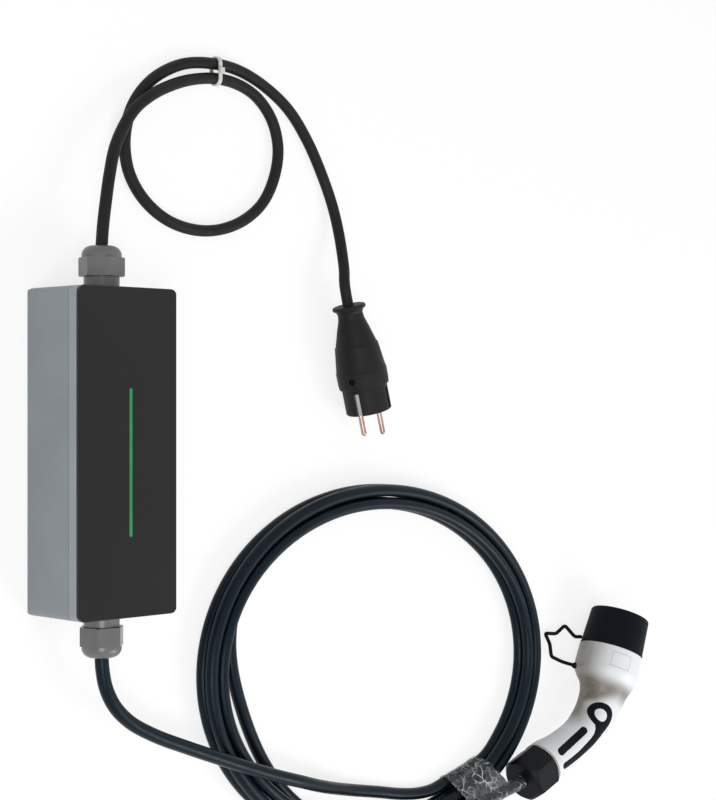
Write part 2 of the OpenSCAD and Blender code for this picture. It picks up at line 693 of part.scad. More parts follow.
// A point beside the coil's middle line: angle round the oval, distance outwards, height
function coil_point(t, out, z) = let (flat = [coil_a * cos(t), coil_b * sin(t)]
  + out * unit([coil_b * cos(t), coil_a * sin(t)])) [
  coil_c[0] + flat[0] * cos(coil_tilt) - flat[1] * sin(coil_tilt),
  coil_c[1] + flat[0] * sin(coil_tilt) + flat[1] * cos(coil_tilt), z];

// One turn strays inwards at the left, between these angles
stray = 26.5;
stray_from = 136;
stray_to = 266;
function stray_at(t) = t < stray_from || t > stray_to ? 0
  : stray * pow(sin(180 * (t - stray_from) / (stray_to - stray_from)), 2);
function coil_ring(t, cut) = let (i = -coil_half - stray_at(t), o = coil_half) [
  coil_point(t, o, coil_low + cut), coil_point(t, o, coil_high - cut),
  coil_point(t, o - cut, coil_high), coil_point(t, i + cut, coil_high),
  coil_point(t, i, coil_high - cut), coil_point(t, i, coil_low + cut),
  coil_point(t, i + cut, coil_low), coil_point(t, o - cut, coil_low)];
module vehicle_coil() color("#1f262c") swept([for (k = [0 : 59]) coil_ring(k * 6, 5)], closed = true);

// Clear film wound round the coil and the tail, and the lead where it joins the coil's turns
film_room = 0.8;
film_turns = [for (k = [0 : 4]) film_from + k * (film_to - film_from) / 4];
bundle_r = vehicle_d / 2;
function mark_at(marks, t, k) = lookup(t, [for (mark = marks) [mark[0], mark[k]]]);
// Corners of the film: the middle of the cord that it bends round, and the way out from there
function film_corners(t, r) = let (
  o = coil_half - bundle_r, low = coil_low + bundle_r, high = coil_high - bundle_r,
  x = mark_at(tail_marks, t, 1), z = mark_at(tail_marks, t, 2),
  lead = lookup(t, [[film_from + 3.5, lead_out], [film_to, 3 - coil_half]]),
  outer = max(o, o + (x - o) * (high - low) / (z - low)),
  brow = [-o + r * cos(135), high + r * sin(135)],
  cheek = [lead + r * cos(144), lead_z + r * sin(144)],
  inner = brow[0] + (brow[1] - high) / (brow[1] - cheek[1]) * (cheek[0] - brow[0]))
  [[o, low, 0], [outer, high, 0], [x, z, 0], [x, z, 45], [x, z, 90], [x, z, 126],
   [-o, high, 135], [min(-o, inner + r), high, 180], [lead, lead_z, 144], [lead, lead_z, 180],
   [lead, lead_z, 216], [lead, lead_z, 250], [o, low, 290], [o, low, 320]];
function film_ring(t, g) = let (r = bundle_r + film_room + g) [for (c = film_corners(t, r))
  coil_point(t, c[0] + r * cos(c[2]), max(c[1] + r * sin(c[2]), coil_low - close_fit - g))];
module coil_wrap() color("lightgray") difference() {
  swept([for (t = film_turns) film_ring(t, film_t)], folded = true);
  swept([for (t = concat([film_from - 1], film_turns, [film_to + 1])) film_ring(t, 0)], folded = true);
}

// Connector

module at_connector() {
  translate(conn_pos) rotate(conn_turn) children();
}
// Turns a piece built along z to run forwards from the cap's seat, or backwards from the shell's end
module forwards() {
  rotate([-90, 0, 0]) children();
}
module backwards() {
  translate(concat(spine(shell_l), 0)) rotate([90, 0, -bend_angle]) children();
}

split = 0.1;
arc_steps = 16;
stations = [shell_l, shell_l - 6, shell_l - 12, shell_l - 20, shell_l - 28, shell_l - 37,
  shell_l - 46, head_l + 55, head_l + 47, head_l + 39, head_l + 32, head_l + 25, head_l + 19,
  head_l + 13, head_l + 8.5, head_l + 4, 40, 37, 34, 30.5, 27, 20, 10, 0];

// A point of the handle's skin, sunk below its surface: by its angle in the section, or by the
// distance along the skin from the handle's top line
function skin_at(s, angle, sink) = let (p = spine(s) + across(s)
  * (section_at(s, 1) + (section_at(s, 2) - sink) * cos(angle)))
  [p[0], p[1], split + (section_at(s, 3) - sink) * sin(angle)];
function skin_over(s, along, lift) =
  skin_at(s, 90 - along / (section_at(s, 2) + section_at(s, 3)) * 360 / PI, -lift);

// Half shell: outer half oval and inner half oval joined at the split
function half_loop(s) = concat(
  [for (k = [0 : arc_steps]) skin_at(s, k * 180 / arc_steps, 0)],
  [for (k = [arc_steps : -1 : 0]) skin_at(s, k * 180 / arc_steps, shell_wall)]);
screw_places = [head_l + 14, head_l + 44, shell_l - 42];
module at_handle_screws() {
  for (s = screw_places) {
    $boss_h = section_at(s, 3) - shell_wall + 1;
    translate(concat(spine(s) + across(s) * section_at(s, 1), 0)) children();
  }
}
module half_shell() {
  swept([for (s = stations) half_loop(s)], folded = true);
  at_handle_screws() translate([0, 0, split]) cylinder(h = $boss_h, r = 3.8, $fn = 24);
}

// Inlays: a flat ring with a tail, and a bar, following the skin
ring_s = head_l + 30;
ring_u = -10.4;
ring_out = 14;
ring_in = 7.2;
inlay_room = 0.2;
// A row across an inlay: four places on the skin, with the underside first and then the top
function inlay_row(places, low, high) = concat([skin_over(places[0][0], places[0][1], high)],
  [for (p = places) skin_over(p[0], p[1], low)],
  [for (k = [3 : -1 : 1]) skin_over(places[k][0], places[k][1], high)]);
function ring_place(r, a) = [ring_s + r * cos(a), ring_u + r * sin(a)];
function ring_row(a, g) = let (step = (ring_out - ring_in + 2 * g) / 3)
  [for (k = [0 : 3]) ring_place(ring_out + g - k * step, a)];
function strip_row(row, g) = let (step = (row[2] - row[1] + 2 * g) / 3)
  [for (k = [0 : 3]) [ring_s + row[0], row[2] + g - k * step]];
// Rows of a strip: distance behind the ring's middle, and its two edges across the handle
tail_rows = [[ring_out + 1, -7, 3.2], [19, -6.5, 3], [24.5, -5.4, 2.4], [30, -3.8, 3.8],
  [37, -2.3, 5.3], [47, -1, 6.6], [57, -0.3, 7.3], [68, -0.6, 6.9],
  [78, -1, 6.6], [80.6, 0.2, 5.4], [82, 1.8, 3.8]];
bar_rows = [[29, -15.4, -13], [30.4, -17, -11.4], [33, -17.6, -10.4], [45, -17.3, -10.2],
  [57, -16.8, -9.8], [73, -15.6, -8.6], [77, -14.8, -9.2], [78.6, -13, -11]];
module strip(rows, g, low, high) {
  last = len(rows) - 1;
  places = [for (i = [0 : last]) strip_row(rows[i] + [i == last ? g : i == 0 ? -g : 0, 0, 0], g)];
  swept([for (row = places) inlay_row(row, low, high)]);
}
module ring_inlay(g, low, high) {
  swept([for (k = [23 : -1 : 0]) inlay_row(ring_row(k * 15, g), low, high)], closed = true);
  strip(tail_rows, g, low, high);
}
module grip_inlay_ring() color("#16181a") at_connector() ring_inlay(0, -inlay_t, 0.4);
module grip_inlay_bar() color("#16181a") at_connector() strip(bar_rows, 0, -inlay_t, 0.4);

module handle_shell_upper() color("white") at_connector() difference() {
  half_shell();
  ring_inlay(inlay_room, -inlay_t - inlay_room, 4);
  strip(bar_rows, inlay_room, -inlay_t - inlay_room, 4);
  at_handle_screws() cylinder(h = $boss_h - 3, d = 3 + 2 * close_fit, $fn = 24);
}
module handle_shell_lower() color("white") at_connector() difference() {
  mirror([0, 0, 1]) half_shell();
  at_handle_screws() {
    translate([0, 0, -head_r]) cylinder(h = head_r + 1, d = 3 + 2 * clearance, $fn = 24);
    translate([0, 0, -head_r]) cylinder(h = head_r - screw_head_z, d = 6, $fn = 24);
  }
}
screw_head_z = 8;
module handle_screws() color("silver") at_connector() at_handle_screws()
  translate([0, 0, -screw_head_z]) mirror([0, 0, 1]) screw(3, 5.4, 2, screw_head_z + $boss_h - 4);

// Contact places, seen from the front: across the bend, then up
power_places = [[0, 0], [0, -16.3], [0, 16.3], [-14, -8.2], [-14, 8.2]];
signal_places = [[13.2, -7.5], [13.2, 7.5]];
power_tower_r = power_bore / 2 + 3.5;
signal_tower_r = signal_bore / 2 + 3;
sleeve_wall = 1.2;
shroud_flat = shroud_r - 5;

// Shroud with one flat side, its base in the shells and seven contact towers inside
module shroud_outline(r, flat) {
  intersection() {
    circle(r, $fn = 96);
    translate([flat - 2 * r, -r]) square(2 * r);
  }
}
module contact_insert() color("#1b1c1e") at_connector() forwards() difference() {
  union() {
    translate([0, 0, -insert_base_t])
      cylinder(h = insert_base_t, r = head_r - shell_wall - clearance, $fn = 96);
    difference() {
      translate([0, 0, -eps]) linear_extrude(shroud_l) shroud_outline(shroud_r, shroud_flat);
      linear_extrude(shroud_l + 1) shroud_outline(shroud_r - shroud_wall, shroud_flat - shroud_wall);
    }
    for (p = power_places) translate([p[0], p[1], -eps]) cylinder(h = tower_l, r = power_tower_r);
    for (p = signal_places) translate([p[0], p[1], -eps]) cylinder(h = tower_l, r = signal_tower_r);
  }
  for (p = power_places) translate([p[0], p[1], -insert_base_t - 1])
    cylinder(h = tower_l + insert_base_t + 2, d = power_bore + 2 * sleeve_wall + 2 * close_fit);
  for (p = signal_places) translate([p[0], p[1], -insert_base_t - 1])
    cylinder(h = tower_l + insert_base_t + 2, d = signal_bore + 2 * sleeve_wall + 2 * close_fit);
}
// Contact sleeve: open at the front, solid at the back
module sleeve(bore) {
  difference() {
    translate([0, 0, -insert_base_t - 4])
      cylinder(h = insert_base_t + 4 + tower_l - 2, d = bore + 2 * sleeve_wall);
    cylinder(h = tower_l, d = bore);
  }
}
module power_contacts() color("silver") at_connector() forwards()
  for (p = power_places) translate([p[0], p[1], 0]) sleeve(power_bore);
module signal_contacts() color("silver") at_connector() forwards()
  for (p = signal_places) translate([p[0], p[1], 0]) sleeve(signal_bore);

// Rear nut: six flats with bevelled ends, a spigot inside the shells and a hollow for the seal
spigot_r = tail_r - shell_wall - 1 - clearance;
seal_r = 13;
module rear_nut() color("#141518") at_connector() backwards() difference() {
  corner = nut_af / sqrt(3);
  union() {
    translate([0, 0, clearance]) intersection() {
      cylinder(h = nut_l - clearance, r = corner, $fn = 6);
      cylinder(h = nut_l - clearance, r1 = tail_r - 1, r2 = tail_r + nut_l);
      cylinder(h = nut_l - clearance, r1 = tail_r + nut_l - 6, r2 = tail_r - 3);
    }
    translate([0, 0, -spigot_l]) cylinder(h = spigot_l + 1, r = spigot_r);
  }
  translate([0, 0, -spigot_l - 1]) cylinder(h = spigot_l + nut_l - 5, r = seal_r);
  cylinder(h = nut_l + 1, d = vehicle_d + 2 * clearance);
}
module cable_seal() color("black") at_connector() backwards() translate([0, 0, -spigot_l + 2])
  ring(seal_r - close_fit, vehicle_d / 2 + close_fit, spigot_l + nut_l - 8 - close_fit);

// Dust cap: a cup over the shroud, lipped at its base
module dust_cap() color("#17191c") at_connector() forwards() translate([0, 0, clearance]) difference() {
  edge_r = 3;
  rotate_extrude($fn = 96) {
    polygon([[0, 0], [cap_base_r + 0.3, 0], [cap_base_r + 0.3, 2], [cap_base_r - 0.1, 2.4],
      [cap_tip_r, cap_l - edge_r], [cap_tip_r - edge_r, cap_l - edge_r], [0, cap_l - edge_r]]);
    square([cap_tip_r - edge_r, cap_l]);
    intersection() {
      translate([cap_tip_r - edge_r, cap_l - edge_r]) circle(edge_r);
      translate([0, cap_l - edge_r]) square([cap_tip_r, edge_r]);
    }
  }
  translate([0, 0, -1]) cylinder(h = shroud_l + 1 + clearance, r = cap_in_r, $fn = 96);
}

module cap_tether() color("#17191c") tube(tether_route, tether_d, 8);

rear_case();
front_frame();
front_panel();
light_guide();
light_board();
cover_gasket();
case_screws();
main_board();
board_screws();
power_relays();
current_sensor();
power_module();
surge_varistor();
mains_terminal();
vehicle_terminal();
supply_cores();
vehicle_cores();
supply_gland_washer();
supply_gland_body();
supply_gland_nut();
supply_gland_seal();
supply_gland_locknut();
vehicle_gland_washer();
vehicle_gland_body();
vehicle_gland_nut();
vehicle_gland_seal();
vehicle_gland_locknut();
supply_cord();
cord_tie();
plug_shell();
plug_face();
plug_pins();
plug_earth_strips();
plug_screw();
vehicle_cord_lead();
vehicle_coil();
coil_wrap();
vehicle_cord_tail();
handle_shell_upper();
handle_shell_lower();
handle_screws();
contact_insert();
power_contacts();
signal_contacts();
rear_nut();
cable_seal();
grip_inlay_ring();
grip_inlay_bar();
dust_cap();
cap_tether();
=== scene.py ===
# %% [markdown]
# # A portable charger for an electric car
# The real object is a grey control box with a gloss black face. One cord runs from it to a round
# household plug, and a longer, thicker cord is wound in an oval coil and ends in a bent white
# handle under a black dust cap. The solids come from the CAD part. This lesson gives them their
# finishes, and rebuilds the handle's skin and the soft pieces: two cords, a film and a tether.

# %% Load the CAD frame
import math

import bpy
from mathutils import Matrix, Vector, noise


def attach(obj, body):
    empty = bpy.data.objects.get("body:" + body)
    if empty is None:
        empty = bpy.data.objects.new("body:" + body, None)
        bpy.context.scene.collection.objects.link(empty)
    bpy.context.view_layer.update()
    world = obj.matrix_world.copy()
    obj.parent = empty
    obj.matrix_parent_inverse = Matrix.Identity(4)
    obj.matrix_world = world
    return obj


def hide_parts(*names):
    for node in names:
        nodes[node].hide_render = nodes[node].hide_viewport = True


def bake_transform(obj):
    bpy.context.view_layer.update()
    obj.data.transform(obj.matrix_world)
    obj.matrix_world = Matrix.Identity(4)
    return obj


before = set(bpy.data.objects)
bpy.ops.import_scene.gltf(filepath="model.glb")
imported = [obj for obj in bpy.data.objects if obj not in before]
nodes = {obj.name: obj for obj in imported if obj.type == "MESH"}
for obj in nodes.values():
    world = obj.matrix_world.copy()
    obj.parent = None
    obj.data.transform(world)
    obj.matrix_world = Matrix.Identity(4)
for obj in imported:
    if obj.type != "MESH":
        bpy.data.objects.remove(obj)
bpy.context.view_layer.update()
MM = 0.001

# %% [markdown]
# ## Camera
# The photograph was taken from in front of the box, so the panel looks back at the lens at about
# 45 degrees. A long lens keeps the box's sides nearly parallel. The camera is placed by three
# numbers and one turn about Y, because its picture's upright is the box's own length.

# %% Camera
CAMERA_PLACE = (-0.8677, 0.0408, 1.1846)
CAMERA_TURN = math.radians(-45.15)
LENS_MM = 81

scene = bpy.context.scene
scene.view_settings.view_transform = "Standard"
lens = bpy.data.cameras.new("product_camera")
lens.lens = LENS_MM
lens.sensor_width = 36
lens.clip_end = 50
camera = bpy.data.objects.new("product_camera", lens)
camera.location = CAMERA_PLACE
camera.rotation_euler = (0, CAMERA_TURN, 0)
scene.collection.objects.link(camera)
scene.camera = camera
print("camera at", tuple(camera.location))

# %% [markdown]
# ## Floor and light
# A product picture has a white ground and soft light from large lamps. The world and the floor
# each have two looks, one that lights the object and one that is seen directly, and the Light
# Path node tells which is wanted.

# %% World
WHITE = (1, 1, 1, 1)
WORLD_FILL = 0.42
WORLD_SEEN = 1.0


def shader_tree(owner):
    owner.use_nodes = True
    tree = owner.node_tree
    tree.nodes.clear()
    return tree


def add(tree, kind, **values):
    made = tree.nodes.new(kind)
    for key, value in values.items():
        setattr(made, key, value)
    return made


def seen_directly(tree):
    """1 where a ray comes from the camera, a mirror or clear plastic, and 0 for plain lighting."""
    path = add(tree, "ShaderNodeLightPath")
    first = add(tree, "ShaderNodeMath", operation="MAXIMUM")
    second = add(tree, "ShaderNodeMath", operation="MAXIMUM")
    tree.links.new(path.outputs["Is Camera Ray"], first.inputs[0])
    tree.links.new(path.outputs["Is Glossy Ray"], first.inputs[1])
    tree.links.new(first.outputs[0], second.inputs[0])
    tree.links.new(path.outputs["Is Transmission Ray"], second.inputs[1])
    return second.outputs[0]


def mix_to_output(tree, share, one, two, output):
    """Mixes two shaders by a share and joins the result to an output node of the given kind."""
    mix = add(tree, "ShaderNodeMixShader")
    for source, place in ((share, 0), (one, 1), (two, 2)):
        tree.links.new(source, mix.inputs[place])
    tree.links.new(mix.outputs[0], add(tree, output).inputs[0])


def white_background(tree, strength):
    made = add(tree, "ShaderNodeBackground")
    made.inputs["Color"].default_value = WHITE
    made.inputs["Strength"].default_value = strength
    return made.outputs[0]


scene.world = bpy.data.worlds.new("studio")
world_tree = shader_tree(scene.world)
mix_to_output(world_tree, seen_directly(world_tree), white_background(world_tree, WORLD_FILL),
              white_background(world_tree, WORLD_SEEN), "ShaderNodeOutputWorld")
print("world fill:", WORLD_FILL)

# %% [markdown]
# The floor is a plain plane of white paper. Seen directly, it is helped towards white by a glow,
# and the share that stays paper keeps a soft shadow, so the object doesn't seem to float.

# %% Floor and lamps
FLOOR_HALF = 6
PAPER = (0.93, 0.93, 0.93, 1)
FLOOR_GLOW = 1.09
FLOOR_GLOW_SHARE = 0.72


def floor_finish():
    made = bpy.data.materials.new("floor_white")
    tree = shader_tree(made)
    paper = add(tree, "ShaderNodeBsdfDiffuse")
    paper.inputs["Color"].default_value = PAPER
    glow = add(tree, "ShaderNodeEmission")
    glow.inputs["Strength"].default_value = FLOOR_GLOW
    share = add(tree, "ShaderNodeMath", operation="MULTIPLY")
    share.inputs[1].default_value = FLOOR_GLOW_SHARE
    tree.links.new(seen_directly(tree), share.inputs[0])
    mix_to_output(tree, share.outputs[0], paper.outputs[0], glow.outputs[0], "ShaderNodeOutputMaterial")
    return made


def white_floor():
    mesh = bpy.data.meshes.new("floor")
    corners = ((-1, -1), (1, -1), (1, 1), (-1, 1))
    mesh.from_pydata([(x * FLOOR_HALF, y * FLOOR_HALF, 0) for x, y in corners], [], [(0, 1, 2, 3)])
    mesh.materials.append(floor_finish())
    floor = bpy.data.objects.new("floor", mesh)
    scene.collection.objects.link(floor)


def lamp(name, place, aim, size, power):
    data = bpy.data.lights.new(name, "AREA")
    data.shape = "DISK"
    data.size = size
    data.energy = power
    body = bpy.data.objects.new(name, data)
    body.location = place
    body.rotation_euler = (Vector(aim) - Vector(place)).to_track_quat("-Z", "Y").to_euler()
    scene.collection.objects.link(body)


white_floor()
lamp("key_lamp", place=(1.8, -1.7, 2.0), aim=(0.35, -0.1, 0), size=1.5, power=34)
lamp("side_lamp", place=(-1.4, -0.6, 2.0), aim=(0.45, -0.2, 0), size=1.2, power=23)

# %% [markdown]
# ## Finishes
# Moulded plastic and rubber are never one flat colour. Each finish here is a Principled shader
# with three slow or fine noises: a patchy tint, a patchy roughness, and a bump as fine as the
# mould's texture. The noise uses object coordinates in metres, so the grain has the same size on
# every piece.

# %% Recipe for a moulded finish
GRAIN_DEPTH = 0.3 * MM
MIX_SHARE, MIX_ONE, MIX_TWO, MIX_COLOUR = 0, 6, 7, 2


def noise_at(tree, coords, scale, detail=3.0, rough=0.55):
    cloud = add(tree, "ShaderNodeTexNoise")
    cloud.inputs["Scale"].default_value = scale
    cloud.inputs["Detail"].default_value = detail
    cloud.inputs["Roughness"].default_value = rough
    tree.links.new(coords, cloud.inputs["Vector"])
    return cloud.outputs["Fac"]


def spread(tree, value, low, high, from_low=0.3, from_high=0.7):
    reach = add(tree, "ShaderNodeMapRange")
    reach.inputs["From Min"].default_value = from_low
    reach.inputs["From Max"].default_value = from_high
    reach.inputs["To Min"].default_value = low
    reach.inputs["To Max"].default_value = high
    tree.links.new(value, reach.inputs["Value"])
    return reach.outputs["Result"]


def srgb(code):
    """The linear colour of a hex code."""
    parts = [int(code[k:k + 2], 16) / 255 for k in (1, 3, 5)]
    return tuple(c / 12.92 if c <= 0.04045 else ((c + 0.055) / 1.055) ** 2.4 for c in parts)


def tinted(tree, share, one, two):
    mix = add(tree, "ShaderNodeMix", data_type="RGBA")
    mix.inputs[MIX_ONE].default_value = (*srgb(one), 1)
    mix.inputs[MIX_TWO].default_value = (*srgb(two), 1)
    tree.links.new(share, mix.inputs[MIX_SHARE])
    return mix.outputs[MIX_COLOUR]


def moulded(name, one, two, rough, grain, bump, patch=18, **sockets):
    """A moulded finish: two near colours, a roughness range, and a fine grain's size and depth."""
    made = bpy.data.materials.new(name)
    tree = shader_tree(made)
    shader = add(tree, "ShaderNodeBsdfPrincipled")
    coords = add(tree, "ShaderNodeTexCoord").outputs["Object"]
    patches = spread(tree, noise_at(tree, coords, patch), 0, 1)
    tree.links.new(tinted(tree, patches, one, two), shader.inputs["Base Color"])
    wear = noise_at(tree, coords, patch * 4)
    tree.links.new(spread(tree, wear, rough[0], rough[1]), shader.inputs["Roughness"])
    height = add(tree, "ShaderNodeBump")
    height.inputs["Strength"].default_value = bump
    height.inputs["Distance"].default_value = GRAIN_DEPTH
    tree.links.new(noise_at(tree, coords, grain, 2.0), height.inputs["Height"])
    tree.links.new(height.outputs["Normal"], shader.inputs["Normal"])
    for key, value in sockets.items():
        shader.inputs[key.replace("_", " ")].default_value = value
    tree.links.new(shader.outputs[0], add(tree, "ShaderNodeOutputMaterial").inputs[0])
    return made


# %% [markdown]
# Dark plastic in white surroundings looks paler than its own colour, because it mirrors them. So
# the black finishes are written darker than they look, with a low specular level. The thick
# cord's gleam is a little blue.

# %% Finishes of the box, the cords and the handle
case_grey = moulded("case_grey", "#838a90", "#8c9398", (0.34, 0.46), 1500, 0.12)
frame_grey = moulded("frame_grey", "#9098a0", "#999fa6", (0.34, 0.46), 1500, 0.12)
panel_black = moulded("panel_black", "#1a1718", "#201d1e", (0.05, 0.09), 60, 0.02, patch=6,
                      Specular_IOR_Level=0.25)
gland_grey = moulded("gland_grey", "#646464", "#707070", (0.22, 0.34), 1400, 0.15)
cord_black = moulded("cord_black", "#151414", "#1d1b1b", (0.5, 0.66), 900, 0.35, Specular_IOR_Level=0.2)
plug_black = moulded("plug_black", "#161414", "#1e1c1b", (0.48, 0.62), 1100, 0.3, Specular_IOR_Level=0.2)
vehicle_black = moulded("vehicle_black", "#03080e", "#08121b", (0.3, 0.42), 800, 0.35,
                        Specular_IOR_Level=0.2, Specular_Tint=(0.62, 0.84, 1.0, 1.0))
cap_black = moulded("cap_black", "#0a0f15", "#11171e", (0.5, 0.64), 1300, 0.3, Specular_IOR_Level=0.07)
inlay_black = moulded("inlay_black", "#0c0e10", "#131518", (0.42, 0.55), 1200, 0.2,
                      Specular_IOR_Level=0.06)
nut_black = moulded("nut_black", "#080a10", "#10131a", (0.36, 0.5), 1000, 0.25, Specular_IOR_Level=0.12)
seal_black = moulded("seal_black", "#101010", "#171717", (0.55, 0.7), 1000, 0.3, Specular_IOR_Level=0.2)
tie_white = moulded("tie_white", "#d9d8d4", "#e4e3df", (0.3, 0.42), 700, 0.1)
print("finishes:", len(bpy.data.materials))

# %% [markdown]
# ## Cords
# A cord is a fixed length of something round and springy. A bevelled curve is the natural tool:
# one spline is the centre line and the bevel is the jacket. The route's points are the same as in
# the CAD source, in millimetres, and a centripetal Catmull-Rom line runs smoothly through them
# without overshooting where points lie close together.

# %% Smooth routes
ROUTE_STEP = 4


def hermite(t, start, leave, end, meet):
    """A smooth way from start to end, which sets out along leave and arrives along meet."""
    return ((2 * t**3 - 3 * t**2 + 1) * start + (t**3 - 2 * t**2 + t) * leave
            + (3 * t**2 - 2 * t**3) * end + (t**3 - t**2) * meet)


def smooth_route(points, step):
    """A smooth line through the points, with a place every step or so."""
    line = [Vector(p) for p in points]
    ends = [2 * line[0] - line[1], *line, 2 * line[-1] - line[-2]]
    made = []
    for a, b, c, d in zip(ends, ends[1:], ends[2:], ends[3:]):
        ab, bc, cd = (math.sqrt((q - p).length) for p, q in ((a, b), (b, c), (c, d)))
        leave = ((b - a) / ab - (c - a) / (ab + bc) + (c - b) / bc) * bc
        meet = ((c - b) / bc - (d - b) / (bc + cd) + (d - c) / cd) * bc
        count = max(2, int((c - b).length / step))
        made += [hermite(k / count, b, leave, c, meet) for k in range(count)]
    return made + [line[-1]]


def run_length(line):
    return sum((q - p).length for p, q in zip(line, line[1:]))


def cord_curve(name, line, diameter, finish):
    curve = bpy.data.curves.new(name, "CURVE")
    curve.dimensions = "3D"
    curve.bevel_depth = diameter / 2 * MM
    curve.bevel_resolution = 5
    curve.use_fill_caps = True
    spline = curve.splines.new("POLY")
    spline.points.add(len(line) - 1)
    for place, p in zip(spline.points, line):
        place.co = (*(p * MM), 1)
    spline.use_smooth = True
    curve.materials.append(finish)
    made = bpy.data.objects.new(name, curve)
    scene.collection.objects.link(made)
    return made


# %% [markdown]
# The supply cord falls from the upper gland to the floor, makes one loop, and rises into the
# plug's sleeve along the plug's own line.

# %% Supply cord
SUPPLY_D = 10
PLUG_TURN = math.radians(15.5)
BEFORE_PLUG, INSIDE_PLUG = 18, 36

plug_rear = Vector((287, 127, 23.8))
plug_way = Vector((math.sin(PLUG_TURN), -math.cos(PLUG_TURN), 0))
supply_route = [
    (0, 163, 35), (2, 178, 34), (7, 198, 31), (14, 222, 27), (23, 244, 22), (35, 263, 18), (48, 279, 16),
    (65, 292, 15), (87, 303, 12), (113, 312, 8.5), (143, 317, 7), (170, 315, 6), (193, 306, 5.2),
    (210, 288, 5.2), (217, 265, 5.2), (213, 240, 5.2), (199, 215, 5.2), (175, 197, 5.2), (145, 187, 5.2),
    (116, 186, 5.2), (88, 193, 5.2), (65, 208, 5.2), (51, 227, 5.2), (46, 248, 5.2), (48, 268, 5.2),
    (56, 287, 5.2), (69, 303, 5.2), (87, 316, 5.2), (111, 326, 6), (143, 329.5, 7), (172, 327, 6),
    (202, 317, 5.2), (230, 300, 5.2), (252, 276, 5.2), (270, 248, 5.2), (283, 218, 7), (287, 190, 12),
    (286, 160, 19), plug_rear - BEFORE_PLUG * plug_way, plug_rear + INSIDE_PLUG * plug_way]
supply_line = smooth_route(supply_route, ROUTE_STEP)
supply_cord = cord_curve("supply_flex", supply_line, SUPPLY_D, cord_black)
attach(supply_cord, "charger")
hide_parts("supply_cord")

# %% [markdown]
# The vehicle cord is one piece from the box to the handle. Its four turns lie two on two, so the
# route is written round an oval: an angle that keeps counting up, a distance out from the oval's
# middle line, and a height. Between two rows of the table the cord moves over smoothly, and each
# move has its own stretch of the oval, so no two turns meet. One turn strays inwards on the left.

# %% Turns of the coil
OVAL_MIDDLE = Vector((345, -206))
OVAL_LONG, OVAL_SHORT = 211, 156
OVAL_TILT = math.radians(-6)
STRAY_DEPTH, STRAY_START, STRAY_SPAN = 26, 138, 126
COIL_STEP, COIL_END = 10, 1316

turn_table = [
    (-58, -18.4, 6.8), (-36, -6, 6.6), (302, -6, 6.6), (324, 6, 6.6), (640, 6, 6.6), (662, 6, 18.3),
    (978, 6, 18.3), (1000, -6, 18.3), (COIL_END, -6, 18.3), (1338, -2, 29.8), (1362, 1, 30.1),
    (1380.8, 5.5, 30.2), (1387, 10, 30.6), (1393.6, 16, 31.8), (1398.5, 22, 33.1)]


def on_oval(angle, out, height):
    t = math.radians(angle)
    away = Vector((OVAL_SHORT * math.cos(t), OVAL_LONG * math.sin(t))).normalized()
    flat = Vector((OVAL_LONG * math.cos(t), OVAL_SHORT * math.sin(t))) + out * away
    turn_x, turn_y = math.cos(OVAL_TILT), math.sin(OVAL_TILT)
    return Vector((OVAL_MIDDLE.x + flat.x * turn_x - flat.y * turn_y,
                   OVAL_MIDDLE.y + flat.x * turn_y + flat.y * turn_x, height))


def eased(x):
    x = min(max(x, 0), 1)
    return x * x * (3 - 2 * x)


def table_row(angle, shape):
    """Distance out and height at an angle between two rows, moved over by the given shape."""
    for (a, out_a, z_a), (b, out_b, z_b) in zip(turn_table, turn_table[1:]):
        if a <= angle <= b:
            share = shape((angle - a) / (b - a))
            return out_a + (out_b - out_a) * share, z_a + (z_b - z_a) * share


def turn_point(angle):
    out, height = table_row(angle, eased)
    stray = 0
    if STRAY_START < angle < STRAY_START + STRAY_SPAN:
        stray = STRAY_DEPTH * math.sin(math.pi * (angle - STRAY_START) / STRAY_SPAN) ** 2
    return on_oval(angle, out - stray, height)


leaving = [row[0] for row in turn_table if row[0] > COIL_END]
half_up = (COIL_END + leaving[0]) / 2
turn_angles = [*range(turn_table[0][0], COIL_END, COIL_STEP), COIL_END, half_up, *leaving]
turns = [turn_point(angle) for angle in turn_angles]
print("coil:", len(turns), "points")

# %% [markdown]
# The cord ends inside the handle, so the handle's centre line comes first. In its own plane it is
# a straight head, a bend of 45 degrees and a straight grip, measured from the cap's seat.

# %% Centre line of the handle
HANDLE_SEAT = Vector((667, -224, 34.4))
HANDLE_TURN = math.radians(-24)
HEAD, BEND_R, BEND, GRIP = 45, 80, math.radians(45), 57
SHELL = HEAD + BEND_R * BEND + GRIP


def handle_heading(s):
    return min(max((s - HEAD) / BEND_R, 0), BEND)


def handle_line(s):
    """The handle's centre line in its own plane, at a distance s behind the cap's seat."""
    if s < HEAD:
        return Vector((0, -s))
    h = handle_heading(s)
    straight = max(0, s - HEAD - BEND_R * BEND)
    bent = Vector((-BEND_R * (1 - math.cos(h)), -HEAD - BEND_R * math.sin(h)))
    return bent - straight * Vector((math.sin(BEND), math.cos(BEND)))


def handle_place(p, z):
    """A point of the handle's own plane in the part's frame, in mm."""
    c, s = math.cos(HANDLE_TURN), math.sin(HANDLE_TURN)
    return HANDLE_SEAT + Vector((p.x * c - p.y * s, p.x * s + p.y * c, z))


print("handle shell:", round(SHELL, 1), "mm along its line")

# %% [markdown]
# The lead runs from the lower gland over the coil's side and down inside it, where it becomes the
# first turn. The whole route is one line: the lead, the turns, and two places on the handle's own
# line, behind its nut and in its shell.

# %% Vehicle cord
VEHICLE_D = 11.5
BEHIND_SHELL, INSIDE_SHELL = 33, 20

